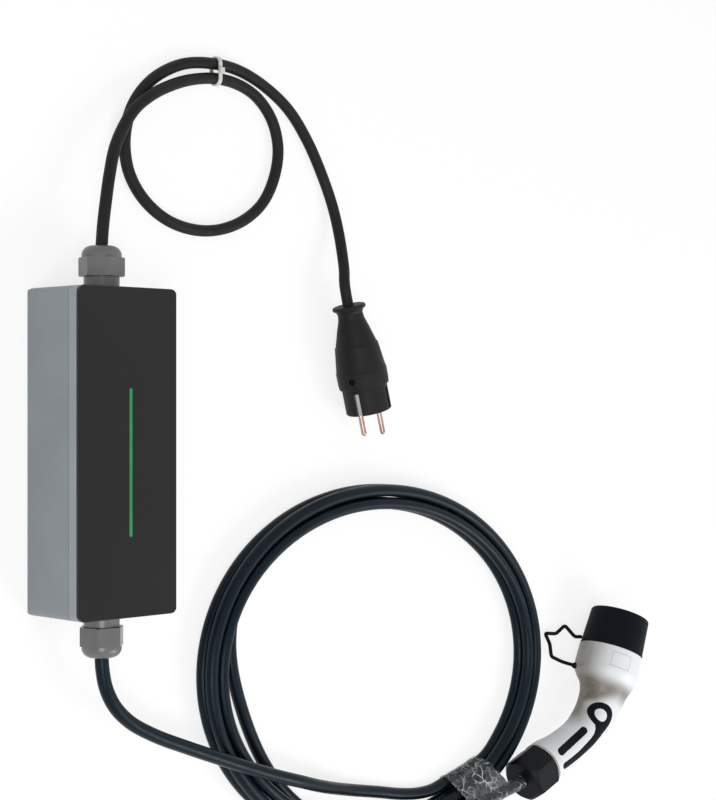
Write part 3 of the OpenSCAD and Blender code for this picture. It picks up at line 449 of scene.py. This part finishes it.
lead = [(0, -163, 35), (0.6, -171, 34.9), (4.2, -187, 34.6), (13, -203, 34.1), (29, -218, 33.3),
        (55, -232.5, 32.5), (92, -248, 31.6), (125, -261, 31.2), (156, -273, 31.2), (189, -285, 31.2),
        (220, -295, 31), (255, -306, 23)]
dive = [(-100.6, -38, 11), (-86.2, -35, 6.8), (-77, -28.5, 6.8), (-70, -23, 6.8), (-64, -19.4, 6.8)]
lead += [on_oval(*row) for row in dive]
into_nut = [handle_place(handle_line(s), 0) for s in (SHELL + BEHIND_SHELL, SHELL - INSIDE_SHELL)]
vehicle_line = smooth_route([*lead, *turns, *into_nut], ROUTE_STEP)
vehicle_cord = cord_curve("vehicle_flex", vehicle_line, VEHICLE_D, vehicle_black)
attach(vehicle_cord, "charger")
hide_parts("vehicle_cord_lead", "vehicle_coil", "vehicle_cord_tail")

# %% [markdown]
# ## Handle
# The handle is moulded in two halves that meet on a level line. It is a loft: oval sections
# follow the centre line. The sections are rows of numbers, a distance behind the seat, a shift
# sideways, half a width and half a height, and a smooth curve runs through them.

# %% Handle skin
TINY = 1e-6

section_rows = [
    (0, 0, 33.4, 33.4), (20, 0, 33.7, 33.6), (27, 0.5, 33.4, 32.8), (34, 2.5, 31, 29.4), (40, 4, 28.4, 25),
    (49, 4, 26, 22.4), (58, 3.6, 24.4, 21.2), (70, 3, 22.6, 20.4), (84, 2.6, 21.2, 19.8),
    (100, 2.8, 20.2, 19.6), (SHELL - 46, 2.8, 20.2, 19.8), (SHELL - 28, 2, 20.8, 20.4),
    (SHELL - 12, 0.3, 22.1, 22.1), (SHELL, 0, 22.4, 22.4)]


def row_before(rows, s):
    return max(i for i in range(len(rows) - 1) if rows[i][0] <= s + TINY)


def section(s):
    """Sideways shift, half width and half height at s, on a smooth line through the rows."""
    rows = section_rows
    k = row_before(rows, s)
    before, a, b, after = rows[max(k - 1, 0)], rows[k], rows[k + 1], rows[min(k + 2, len(rows) - 1)]
    gap = b[0] - a[0]
    made = []
    for c in (1, 2, 3):
        leave = (b[c] - before[c]) / (b[0] - before[0]) * gap
        meet = (after[c] - a[c]) / (after[0] - a[0]) * gap
        made.append(hermite((s - a[0]) / gap, a[c], leave, b[c], meet))
    return made


def skin_point(s, angle, lift=0.0):
    """A point on the skin, by its distance along the handle and its angle round the section."""
    shift, wide, high = section(s)
    h = handle_heading(s)
    across = Vector((math.cos(h), -math.sin(h)))
    p = handle_line(s) + across * (shift + (wide + lift) * math.cos(angle))
    return handle_place(p, (high + lift) * math.sin(angle)) * MM


def skin_over(s, along, lift=0.0):
    """A point by its distance along the skin from the handle's top line."""
    _, wide, high = section(s)
    return skin_point(s, math.pi / 2 - 2 * along / (wide + high), lift)


print("sections:", len(section_rows))

# %% [markdown]
# Meshes here are grids of points. One function joins a grid's points into faces, another joins a
# grid whose last row meets its first, and a third keeps a number with each point, which a shader
# can read.

# %% Mesh helpers
def mesh_piece(name, places, faces, finish):
    mesh = bpy.data.meshes.new(name)
    mesh.from_pydata([tuple(p) for p in places], [], faces)
    mesh.materials.append(finish)
    mesh.shade_smooth()
    made = bpy.data.objects.new(name, mesh)
    scene.collection.objects.link(made)
    return made


def grid_faces(rows, columns, wrap=False, turned=False):
    """Faces of a grid, whose columns may wrap round, and which may be turned inside out."""
    wide = columns if wrap else columns - 1
    faces = [(i * columns + k, i * columns + (k + 1) % columns, (i + 1) * columns + (k + 1) % columns,
              (i + 1) * columns + k) for i in range(rows - 1) for k in range(wide)]
    return [f[::-1] for f in faces] if turned else faces


def loop_faces(rows, columns):
    """Faces of a grid whose last row meets its first."""
    faces = []
    for i in range(rows):
        here, there = i * columns, (i + 1) % rows * columns
        faces += [(here + k, there + k, there + k + 1, here + k + 1) for k in range(columns - 1)]
    return faces


def keep_values(made, name, values):
    made.data.attributes.new(name, "FLOAT", "POINT").data.foreach_set("value", values)


# %% [markdown]
# The white shell has a warm painted shade under the head, on its cheek, and from the seam on the
# hollow side round the underside of the neck, and dirt smudges over more painted shade along the
# hollow side. It is worked out for each point of the mesh and kept there, so it stays with the
# surface, and the finish turns to a khaki grey by that number.

# %% Handle finish
# Khaki grey of the painted shade and the dirt on the white shell.
SHADE_AND_SOIL_COLOUR = "#5e513a"
SHADE_AND_SOIL_MOST = 0.94


def principled(tree):
    return next(n for n in tree.nodes if n.type == "BSDF_PRINCIPLED")


def lay_over(tree, share, code):
    """Lays one more colour over a finish's base colour."""
    base = principled(tree).inputs["Base Color"]
    mix = add(tree, "ShaderNodeMix", data_type="RGBA")
    mix.inputs[MIX_TWO].default_value = (*srgb(code), 1)
    tree.links.new(share, mix.inputs[MIX_SHARE])
    tree.links.new(base.links[0].from_socket, mix.inputs[MIX_ONE])
    tree.links.new(mix.outputs[MIX_COLOUR], base)


def shaded_soiled_white(name):
    """Gloss white that turns warm grey where the mesh's attribute of painted shade and dirt is high."""
    made = moulded(name, "#f0f4f7", "#f7fafc", (0.36, 0.48), 500, 0.05, patch=10)
    tree = made.node_tree
    shade_and_soil = add(tree, "ShaderNodeAttribute", attribute_name="shade_and_soil")
    coords = add(tree, "ShaderNodeTexCoord").outputs["Object"]
    broken = add(tree, "ShaderNodeMath", operation="MULTIPLY")
    tree.links.new(shade_and_soil.outputs["Fac"], broken.inputs[0])
    tree.links.new(spread(tree, noise_at(tree, coords, 70, 4.0), 0.85, 1.0), broken.inputs[1])
    lay_over(tree, broken.outputs[0], SHADE_AND_SOIL_COLOUR)
    return made


def rise(x, start, reach):
    return eased((x - start) / reach)


def fall(x, end, reach):
    return eased((end - x) / reach)


def shade_and_soil_at(s, angle, whole_angle, p):
    """Painted shade and dirt at p: s along the handle, angle from the seam, whole_angle all the way round.
    """
    under_fade = fall(whole_angle, 5.4, 1.2)
    hollow = rise(whole_angle, 1.9, 1.5) * under_fade
    spot = 0.5 + 0.5 * noise.noise(p * 60)
    # Painted shade below the head's flare, which turns away from the light.
    crook_end = 59 + 12 * rise(whole_angle, 1.7, 1.1)
    crook_shade = 0.93 * rise(s, 29, 14) * fall(s, crook_end, 18) * rise(angle, 0.3, 0.6)
    # Dirt smudges broken by noise, over a painted shade along the hollow side.
    smudge_and_shade = (0.5 + 0.4 * spot) * hollow * max(0, 1 - ((s - 78) / 36) ** 2)
    # Painted shade on the head's cheek, the side away from the light.
    cheek_shade = 0.75 * rise(whole_angle, 2.3, 1.1) * under_fade * fall(s, 50, 24)
    # Painted shade from the seam on the hollow side round the underside of the neck.
    rim_shade = 0.4 * rise(whole_angle, 2.9, 0.6) * rise(s, 36, 14) * fall(s, 98, 16)
    return min(SHADE_AND_SOIL_MOST, crook_shade + smudge_and_shade + cheek_shade + rim_shade)


handle_white = shaded_soiled_white("handle_white")
print("handle finish:", handle_white.name)

# %% [markdown]
# Each half is a fine sheet that Solidify gives its wall and Bevel its soft edge. A gap of a fifth
# of a millimetre between the halves draws the seam.

# %% Handle halves
HALF_ROWS, HALF_COLUMNS = 84, 49
HALF_GAP, SHELL_WALL, SHELL_EDGE = 0.1, 3, 0.35


def handle_half(name, side, stand_in):
    places, shade_and_soil = [], []
    for i in range(HALF_ROWS):
        s = SHELL * i / (HALF_ROWS - 1)
        for k in range(HALF_COLUMNS):
            angle = math.pi * k / (HALF_COLUMNS - 1)
            p = skin_point(s, side * angle)
            p.z += side * HALF_GAP * MM
            places.append(p)
            # Each point keeps its share of painted shade and dirt.
            shade_and_soil.append(shade_and_soil_at(s, angle, angle if side > 0 else 2 * math.pi - angle, p))
    made = mesh_piece(name, places, grid_faces(HALF_ROWS, HALF_COLUMNS, turned=side < 0), handle_white)
    keep_values(made, "shade_and_soil", shade_and_soil)
    wall = made.modifiers.new("wall", "SOLIDIFY")
    wall.thickness = SHELL_WALL * MM
    wall.offset = -1
    edge = made.modifiers.new("edge", "BEVEL")
    edge.width = SHELL_EDGE * MM
    edge.segments = 2
    edge.limit_method = "ANGLE"
    edge.angle_limit = math.radians(50)
    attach(made, "charger")
    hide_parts(stand_in)
    return made


upper = handle_half("handle_upper_skin", 1, "handle_shell_upper")
lower = handle_half("handle_lower_skin", -1, "handle_shell_lower")
print("handle halves:", len(upper.data.polygons), "faces each")

# %% [markdown]
# The black inlays follow the skin: a ring whose tail sweeps back along the grip, and a straight
# bar beside it. Each is a narrow sheet laid over the handle from its distance along and across
# it. Its edges are rolled down into the skin, as a rubber inlay sits in its pocket. The roll is a
# row of lifts above the skin, each with its share of the way across.

# %% Grip inlays
RING_S, RING_W, RING_OUT, RING_IN = 75, -10.4, 14.8, 6.8
RING_ACROSS = 1.06
RING_STEPS, STRIP_STEPS = 72, 70
THIN_END = 0.15

roll = [(-0.7, 0.0), (-0.05, 0.0), (0.22, 0.04), (0.35, 0.12), (0.38, 0.3), (0.38, 0.5), (0.38, 0.7),
        (0.35, 0.88), (0.22, 0.96), (-0.05, 1.0), (-0.7, 1.0)]
tail_rows = [(RING_S, 3.4, 1.8), (79, 3.1, 2.2), (82.6, 2.6, 2.7), (84, -4.6, 9.9), (86, -3.9, 9.2),
             (89, -2.6, 7.8), (93, -0.7, 5.9), (98, 0.5, 4.9), (106, 1.4, 4.6), (116, 2.1, 4.3),
             (128, 3.0, 4.0), (142, 3.2, 3.8), (158, 2.7, 3.6)]
bar_rows = [(102, -14.3, 4.2), (120, -13.7, 4.2), (140, -12.7, 4.2), (156, -11.9, 4.2)]


def inlay_ring():
    places = []
    for k in range(RING_STEPS):
        a = 2 * math.pi * k / RING_STEPS
        for lift, share in roll:
            r = RING_OUT + (RING_IN - RING_OUT) * share
            places.append(skin_over(RING_S + r * math.cos(a), RING_W + RING_ACROSS * r * math.sin(a), lift))
    return mesh_piece("inlay_ring", places, loop_faces(RING_STEPS, len(roll)), inlay_black)


def inlay_strip(name, rows, blunt):
    """A strip from rows of (distance along, middle, half width). A blunt end is a round one."""
    places = []
    first, last = rows[0][0], rows[-1][0]
    for i in range(STRIP_STEPS + 1):
        s = first + (last - first) * (0.5 - 0.5 * math.cos(math.pi * i / STRIP_STEPS))
        k = row_before(rows, s)
        t = (s - rows[k][0]) / (rows[k + 1][0] - rows[k][0])
        t = eased(t) * 0.5 + t * 0.5
        middle = rows[k][1] + (rows[k + 1][1] - rows[k][1]) * t
        half = rows[k][2] + (rows[k + 1][2] - rows[k][2]) * t
        for near, round_end in ((s - first, blunt[0]), (last - s, blunt[1])):
            if round_end and near < half:
                half = max(math.sqrt(max(half**2 - (half - near) ** 2, 0)), THIN_END)
        places += [skin_over(s, middle + half * (2 * share - 1), lift) for lift, share in roll]
    return mesh_piece(name, places, grid_faces(STRIP_STEPS + 1, len(roll), turned=True), inlay_black)


ring_piece = inlay_ring()
tail_piece = inlay_strip("inlay_tail", tail_rows, (False, True))
bar_piece = inlay_strip("inlay_bar", bar_rows, (True, True))
inlays = ((ring_piece, "grip_inlay_ring"), (tail_piece, "grip_inlay_ring"), (bar_piece, "grip_inlay_bar"))
for made, stand_in in inlays:
    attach(made, "charger")
    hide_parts(stand_in)
print("inlays:", [len(made.data.polygons) for made, _ in inlays])

# %% [markdown]
# A blank moulded frame stands on the head near the cap. It is a thin raised line on the skin, so
# a closed strip of five points across is enough. It is a shade darker than the clean shell.

# %% Moulded frame on the head
FRAME_S, FRAME_W = (6, 21), (-28, -7)
FRAME_SIDE_STEPS = 24
# A fixed share of the khaki grey that makes the raised line darker than the clean shell.
FRAME_DARKENING = 0.45


def moulded_frame():
    corners = [(FRAME_S[0], FRAME_W[0]), (FRAME_S[0], FRAME_W[1]), (FRAME_S[1], FRAME_W[1]),
               (FRAME_S[1], FRAME_W[0])]
    line = []
    for (s0, w0), (s1, w1) in zip(corners, corners[1:] + corners[:1]):
        shares = [k / FRAME_SIDE_STEPS for k in range(FRAME_SIDE_STEPS)]
        line += [(s0 + (s1 - s0) * share, w0 + (w1 - w0) * share) for share in shares]
    profile = ((-0.55, -0.3), (-0.3, 0.12), (0, 0.26), (0.3, 0.12), (0.55, -0.3))
    places = []
    for s, w in line:
        out_s = (abs(s - FRAME_S[1]) < TINY) - (abs(s - FRAME_S[0]) < TINY)
        out_w = (abs(w - FRAME_W[1]) < TINY) - (abs(w - FRAME_W[0]) < TINY)
        places += [skin_over(s + off * out_s, w + off * out_w, lift) for off, lift in profile]
    made = mesh_piece("head_frame", places, loop_faces(len(line), len(profile)), handle_white)
    keep_values(made, "shade_and_soil", [FRAME_DARKENING] * len(places))
    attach(made, "charger")
    return made


head_frame = moulded_frame()
print("frame line:", len(head_frame.data.vertices), "points")

# %% [markdown]
# A thin khaki line shows where the white shell ends and the black nut begins: the lip of the
# nut's washer. It is a narrow band of the same skin, lifted by a tenth of a millimetre.

# %% Washer lip behind the shell
LIP_STEPS = 96

washer_khaki = moulded("washer_khaki", "#a39b7e", "#b3ab90", (0.4, 0.55), 900, 0.2)


def washer_lip():
    profile = ((SHELL - 1.5, -0.1), (SHELL - 1.3, 0.12), (SHELL - 0.3, 0.16), (SHELL, 0.0))
    angles = [2 * math.pi * k / LIP_STEPS for k in range(LIP_STEPS)]
    places = [skin_point(s, angle, lift) for s, lift in profile for angle in angles]
    made = mesh_piece("washer_lip", places, grid_faces(len(profile), LIP_STEPS, wrap=True), washer_khaki)
    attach(made, "charger")
    return made


lip = washer_lip()
print("washer lip:", len(lip.data.polygons), "faces")

# %% [markdown]
# ## Film wrap
# Clear packing film is wound round the coil, the lead and the tail. A thin see-through shader
# carries its broken glints as painted white lines along creases. The painted glints are the edges
# of two Voronoi patterns, a large and a small one, bent and broken up by noise. Where the film lies
# in folds, an attribute makes it closer.

# %% Film finish
# Colour of the painted glints on the film's creases.
GLINT_COLOUR = "#e6e8e9"
CREASE_BEND = 12 * MM
CREASE_BEND_SCALE = 55
FILM_COVER, GLINT_COVER = 0.5, 0.9
glint_patterns = (dict(scale=58, width=0.045, patches=60, glint_strength=1.0),
           dict(scale=135, width=0.07, patches=80, glint_strength=0.6))


def bent_coords(tree, coords):
    cloud = add(tree, "ShaderNodeTexNoise")
    cloud.inputs["Scale"].default_value = CREASE_BEND_SCALE
    tree.links.new(coords, cloud.inputs["Vector"])
    bent = add(tree, "ShaderNodeVectorMath", operation="MULTIPLY_ADD")
    tree.links.new(cloud.outputs["Color"], bent.inputs[0])
    bent.inputs[1].default_value = (CREASE_BEND, CREASE_BEND, CREASE_BEND)
    tree.links.new(coords, bent.inputs[2])
    return bent.outputs[0]


# Painted white glints along the edges of one Voronoi pattern, broken into patches by noise.
def painted_glint_lines(tree, coords, bent, scale, width, patches, glint_strength):
    cells = add(tree, "ShaderNodeTexVoronoi", feature="DISTANCE_TO_EDGE")
    cells.inputs["Scale"].default_value = scale
    tree.links.new(bent, cells.inputs["Vector"])
    line = add(tree, "ShaderNodeMath", operation="MULTIPLY")
    tree.links.new(spread(tree, cells.outputs["Distance"], glint_strength, 0.0, 0.0, width), line.inputs[0])
    tree.links.new(spread(tree, noise_at(tree, coords, patches), 0.0, 1.0, 0.46, 0.6), line.inputs[1])
    return line.outputs[0]


def film_finish():
    """See-through grey with thin painted white glints along creases, and closer where the folds attribute
    is high.
    """
    made = moulded("film_clear", "#2f3437", "#5c6164", (0.12, 0.3), 240, 0.8, patch=140,
                   Specular_IOR_Level=0.4)
    tree = made.node_tree
    coords = next(n for n in tree.nodes if n.type == "TEX_COORD").outputs["Object"]
    bent = bent_coords(tree, coords)
    glint = add(tree, "ShaderNodeMath", operation="MAXIMUM")
    for place, values in zip(glint.inputs, glint_patterns):
        tree.links.new(painted_glint_lines(tree, coords, bent, **values), place)
    lay_over(tree, glint.outputs[0], GLINT_COLOUR)
    folds = add(tree, "ShaderNodeAttribute", attribute_name="folds")
    cover = add(tree, "ShaderNodeMath", operation="MAXIMUM")
    tree.links.new(spread(tree, glint.outputs[0], FILM_COVER, GLINT_COVER, 0.0, 1.0), cover.inputs[0])
    tree.links.new(folds.outputs["Fac"], cover.inputs[1])
    tree.links.new(cover.outputs[0], principled(tree).inputs["Alpha"])
    return made


film_clear = film_finish()
print("film finish:", len(film_clear.node_tree.nodes), "nodes")

# %% [markdown]
# Pulled tight, the film follows the outside of the bundle, which is the hull of the cords' round
# sections. The crinkles are ridged noise that only pushes outwards, so the film never cuts into a
# cord. Where it spans a gap between cords it counts as folded.

# %% Film round the bundle
FILM_START, FILM_SPAN = 302, 16.0
FILM_R, FILM_LOWEST = 6.6, 0.35
FILM_ROWS, FILM_COLUMNS, HULL_STEPS = 40, 110, 180
RIDGE_PUSH, FINE_PUSH = 1.5, 0.7
FOLDED, FOLD_REACH = 0.95, 2.5


def bundle_places(angle):
    """Middles of the cord's runs at one angle of the oval: distance out and height."""
    low, high = turn_table[0][0], turn_table[-1][0]
    runs = [min(max(angle + start, low), high) for start in (-360, 0, 360, 720, 1080)]
    return [table_row(run, float) for run in runs]


def hull_line(runs, reach, count):
    """Evenly spaced places round the outside of circles of one radius."""
    corners = []
    for k in range(HULL_STEPS):
        a = 2 * math.pi * k / HULL_STEPS
        way = (math.cos(a), math.sin(a))
        far = max(runs, key=lambda r: r[0] * way[0] + r[1] * way[1])
        corners.append(Vector((far[0] + reach * way[0], max(far[1] + reach * way[1], FILM_LOWEST))))
    loop = corners + corners[:1]
    whole, made, run, k = run_length(loop), [], 0.0, 0
    for i in range(count):
        while run + (loop[k + 1] - loop[k]).length < whole * i / count:
            run += (loop[k + 1] - loop[k]).length
            k += 1
        leg = loop[k + 1] - loop[k]
        made.append(loop[k] + leg * ((whole * i / count - run) / max(leg.length, 1e-9)))
    return made


def crinkled(p, out, z):
    """A film point in mm, pushed outwards and up by ridged noise unless it lies on the floor."""
    ridge = 1 - abs(noise.noise(p * 0.11)) * 1.6
    fine = abs(noise.noise(p * 0.31 + Vector((9, 4, 2))))
    push = max(0, RIDGE_PUSH * ridge**3 + FINE_PUSH * fine) if z > 1.5 else 0
    way = Vector((p.x - OVAL_MIDDLE.x, p.y - OVAL_MIDDLE.y, 0)).normalized() * (1 if out > -3 else -1)
    return p + push * (way * 0.6 + Vector((0, 0, 0.6 if z > 20 else 0)))


def film_wrap():
    places, folds = [], []
    for i in range(FILM_ROWS):
        share = i / (FILM_ROWS - 1)
        middle = FILM_START + FILM_SPAN * share
        runs = bundle_places(middle)
        for k, (out, z) in enumerate(hull_line(runs, FILM_R, FILM_COLUMNS)):
            away = min(math.hypot(out - run[0], z - run[1]) for run in runs) - FILM_R
            folds.append(FOLDED * eased(away / FOLD_REACH))
            ragged = 0.7 * noise.noise(Vector((k * 0.23, 7 * share, 3))) * (2 * share - 1) ** 8
            places.append(crinkled(on_oval(middle + ragged, out, z), out, z) * MM)
    faces = grid_faces(FILM_ROWS, FILM_COLUMNS, wrap=True, turned=True)
    made = mesh_piece("film_wrap", places, faces, film_clear)
    keep_values(made, "folds", folds)
    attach(made, "charger")
    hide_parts("coil_wrap")
    return made


film = film_wrap()
print("film:", len(film.data.polygons), "faces")

# %% [markdown]
# The film's loose end is wound along the tail as far as the nut. It is a tube along the cord's own
# line, a little wider than the cord and crumpled by noise.

# %% Film along the tail
SLEEVE_START = 1391
SLEEVE_R, SLEEVE_CRUMPLE, SLEEVE_SIDES = 6.1, 1.3, 48
SLEEVE_FOLDS = 0.6


def nearest(line, place):
    return min(range(len(line)), key=lambda i: (line[i] - place).length)


def way_along(line, i):
    return (line[min(i + 1, len(line) - 1)] - line[max(i - 1, 0)]).normalized()


def ways_out(way, count):
    """Ways square to a given one, evenly round it."""
    side = way.cross(Vector((0, 0, 1))).normalized()
    up = side.cross(way)
    return [math.cos(a) * side + math.sin(a) * up for a in (2 * math.pi * k / count for k in range(count))]


def film_sleeve():
    first, last = nearest(vehicle_line, turn_point(SLEEVE_START)), nearest(vehicle_line, into_nut[0])
    line, places = smooth_route(vehicle_line[first:last + 1], 1), []
    for i, p in enumerate(line):
        for out in ways_out(way_along(line, i), SLEEVE_SIDES):
            reach = SLEEVE_R + SLEEVE_CRUMPLE * abs(noise.noise((p + 6 * out) * 0.16))
            places.append((p + reach * out) * MM)
    made = mesh_piece("film_sleeve", places, grid_faces(len(line), SLEEVE_SIDES, wrap=True, turned=True),
                      film_clear)
    keep_values(made, "folds", [SLEEVE_FOLDS] * len(places))
    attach(made, "charger")
    return made


sleeve = film_sleeve()
print("film sleeve:", len(sleeve.data.polygons), "faces")

# %% [markdown]
# ## Tether
# The cap hangs on a moulded rubber cord in the outline of a star. A tube along a line with
# rounded corners keeps the legs straight and the tips soft.

# %% Cap tether
TETHER_R, TETHER_SIDES = 1.9, 14
CORNER_CUT = 3.2

star = [(644.9, -209, 11.7), (634, -208, 12), (621, -195, 9), (609, -203, 7), (592, -201, 6),
        (600, -213, 6), (601, -226, 7), (617, -233, 9), (631.2, -237.5, 12.6)]


def rounded_line(points, cut):
    """Straight legs between the points, with each corner cut and rounded."""
    made = [Vector(points[0])]
    for a, b, c in zip(points, points[1:], points[2:]):
        a, b, c = Vector(a), Vector(b), Vector(c)
        start, end = b + (a - b).normalized() * cut, b + (c - b).normalized() * cut
        made += [(1 - t) ** 2 * start + 2 * t * (1 - t) * b + t * t * end for t in (0, 0.25, 0.5, 0.75, 1)]
    return made + [Vector(points[-1])]


def tube_piece(name, line, radius, sides, finish):
    places = []
    for i, p in enumerate(line):
        places += [(p + radius * out) * MM for out in ways_out(way_along(line, i), sides)]
    faces = grid_faces(len(line), sides, wrap=True, turned=True)
    faces += [tuple(range(sides)), tuple(range((len(line) - 1) * sides, len(line) * sides))[::-1]]
    return mesh_piece(name, places, faces, finish)


tether = tube_piece("star_tether", rounded_line(star, CORNER_CUT), TETHER_R, TETHER_SIDES, cap_black)
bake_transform(tether)
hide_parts("cap_tether")
print("tether:", len(tether.data.vertices), "points")

# %% [markdown]
# The button is a turned piece: rings of a profile of radius and height, round a line that points
# out of the shell. It starts inside the skin, so no gap shows under it.

# %% Tether button
BUTTON_SUNK, BUTTON_SIDES = 2.4, 24
BUTTON_S = 27

button_profile = ((3.2, 0), (3.2, 1.4), (2.9, 2.6), (2.2, 3.6), (1.1, 4.2), (0.05, 4.4))


def button(name, seat, way, profile, finish):
    outs = ways_out(way, BUTTON_SIDES)
    places = [(seat + h * way + r * out) * MM for r, h in profile for out in outs]
    return mesh_piece(name, places, grid_faces(len(profile), BUTTON_SIDES, wrap=True, turned=True), finish)


tether_end = Vector(star[-1])
anchor_way = (tether_end - handle_place(handle_line(BUTTON_S), 0)).normalized()
anchor_seat = tether_end - BUTTON_SUNK * anchor_way
anchor = button("tether_button", anchor_seat, anchor_way, button_profile, cap_black)
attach(anchor, "charger")
print("button:", len(anchor.data.vertices), "points")

# %% [markdown]
# ## Pieces at the vehicle cord's far end
# Now that the handle's pieces exist, all the pieces at the cord's far end are gathered in one list.

far_end = [upper, lower, ring_piece, tail_piece, bar_piece, head_frame, lip, film, sleeve, tether, anchor]
far_end += [nodes[n] for n in ("handle_screws", "contact_insert", "power_contacts", "signal_contacts",
                               "rear_nut", "cable_seal", "dust_cap")]
print("vehicle cord carries", len(far_end), "pieces")

# %% [markdown]
# ## Finishes on the CAD solids
# The rigid pieces keep their CAD shape and only get a finish in their material slots. Metals are
# the same recipe with the metallic socket at one, and the light bar gives off a little light of
# its own.

# %% Finishes of metals, the light bar and the electronics
steel = moulded("screw_steel", "#b4b4b4", "#c8c8c8", (0.28, 0.42), 900, 0.2, Metallic=1.0)
bright_strip = moulded("earth_steel", "#c9cbcd", "#dcdee0", (0.18, 0.3), 700, 0.15, Metallic=1.0)
pin_metal = moulded("pin_metal", "#a08479", "#bda59b", (0.2, 0.32), 600, 0.15, patch=120, Metallic=1.0)
silver = moulded("contact_silver", "#cfd0d2", "#e2e3e5", (0.2, 0.34), 700, 0.12, Metallic=1.0)
light_green = moulded("light_green", "#067a3f", "#0d9150", (0.2, 0.3), 300, 0.05,
                      Emission_Color=(*srgb("#14a85c"), 1), Emission_Strength=0.15)
insert_black = moulded("insert_black", "#141618", "#1e2022", (0.4, 0.54), 1100, 0.2)
board_green = moulded("board_green", "#14502b", "#1b6236", (0.3, 0.42), 500, 0.15, patch=90)
relay_blue = moulded("relay_blue", "#2a4da0", "#3357ab", (0.35, 0.48), 900, 0.15)
ferrite = moulded("sensor_ring", "#b09438", "#c2a648", (0.4, 0.55), 700, 0.2)
potted = moulded("module_grey", "#3c3c3e", "#49494b", (0.4, 0.55), 900, 0.2)
dipped = moulded("varistor_blue", "#2f5c8f", "#3b6b9e", (0.22, 0.34), 400, 0.1)
terminal = moulded("terminal_green", "#2a7a52", "#348a5f", (0.35, 0.48), 900, 0.15)
core = moulded("core_brown", "#6b4329", "#7a4f33", (0.4, 0.55), 900, 0.15)
print("finishes:", len(bpy.data.materials))

# %% [markdown]
# Each finish then goes to the nodes that wear it, by their names.

# %% Dress the CAD solids
def dress(finish, *names):
    for name in names:
        for place in nodes[name].material_slots:
            place.material = finish


dress(case_grey, "rear_case")
dress(frame_grey, "front_frame")
dress(panel_black, "front_panel")
dress(light_green, "light_guide")
dress(seal_black, "cover_gasket", "supply_gland_washer", "supply_gland_seal", "vehicle_gland_washer",
      "vehicle_gland_seal", "cable_seal", "plug_screw")
dress(gland_grey, "supply_gland_body", "supply_gland_nut", "supply_gland_locknut", "vehicle_gland_body",
      "vehicle_gland_nut", "vehicle_gland_locknut")
dress(steel, "case_screws", "board_screws", "handle_screws")
dress(board_green, "light_board", "main_board")
dress(relay_blue, "power_relays")
dress(ferrite, "current_sensor")
dress(potted, "power_module")
dress(dipped, "surge_varistor")
dress(terminal, "mains_terminal", "vehicle_terminal")
dress(core, "supply_cores", "vehicle_cores")
dress(tie_white, "cord_tie")
dress(plug_black, "plug_shell", "plug_face")
dress(pin_metal, "plug_pins")
dress(bright_strip, "plug_earth_strips")
dress(insert_black, "contact_insert")
dress(silver, "power_contacts", "signal_contacts")
dress(nut_black, "rear_nut")
dress(cap_black, "dust_cap")
print("finishes in use:", len([m for m in bpy.data.materials if m.users]))
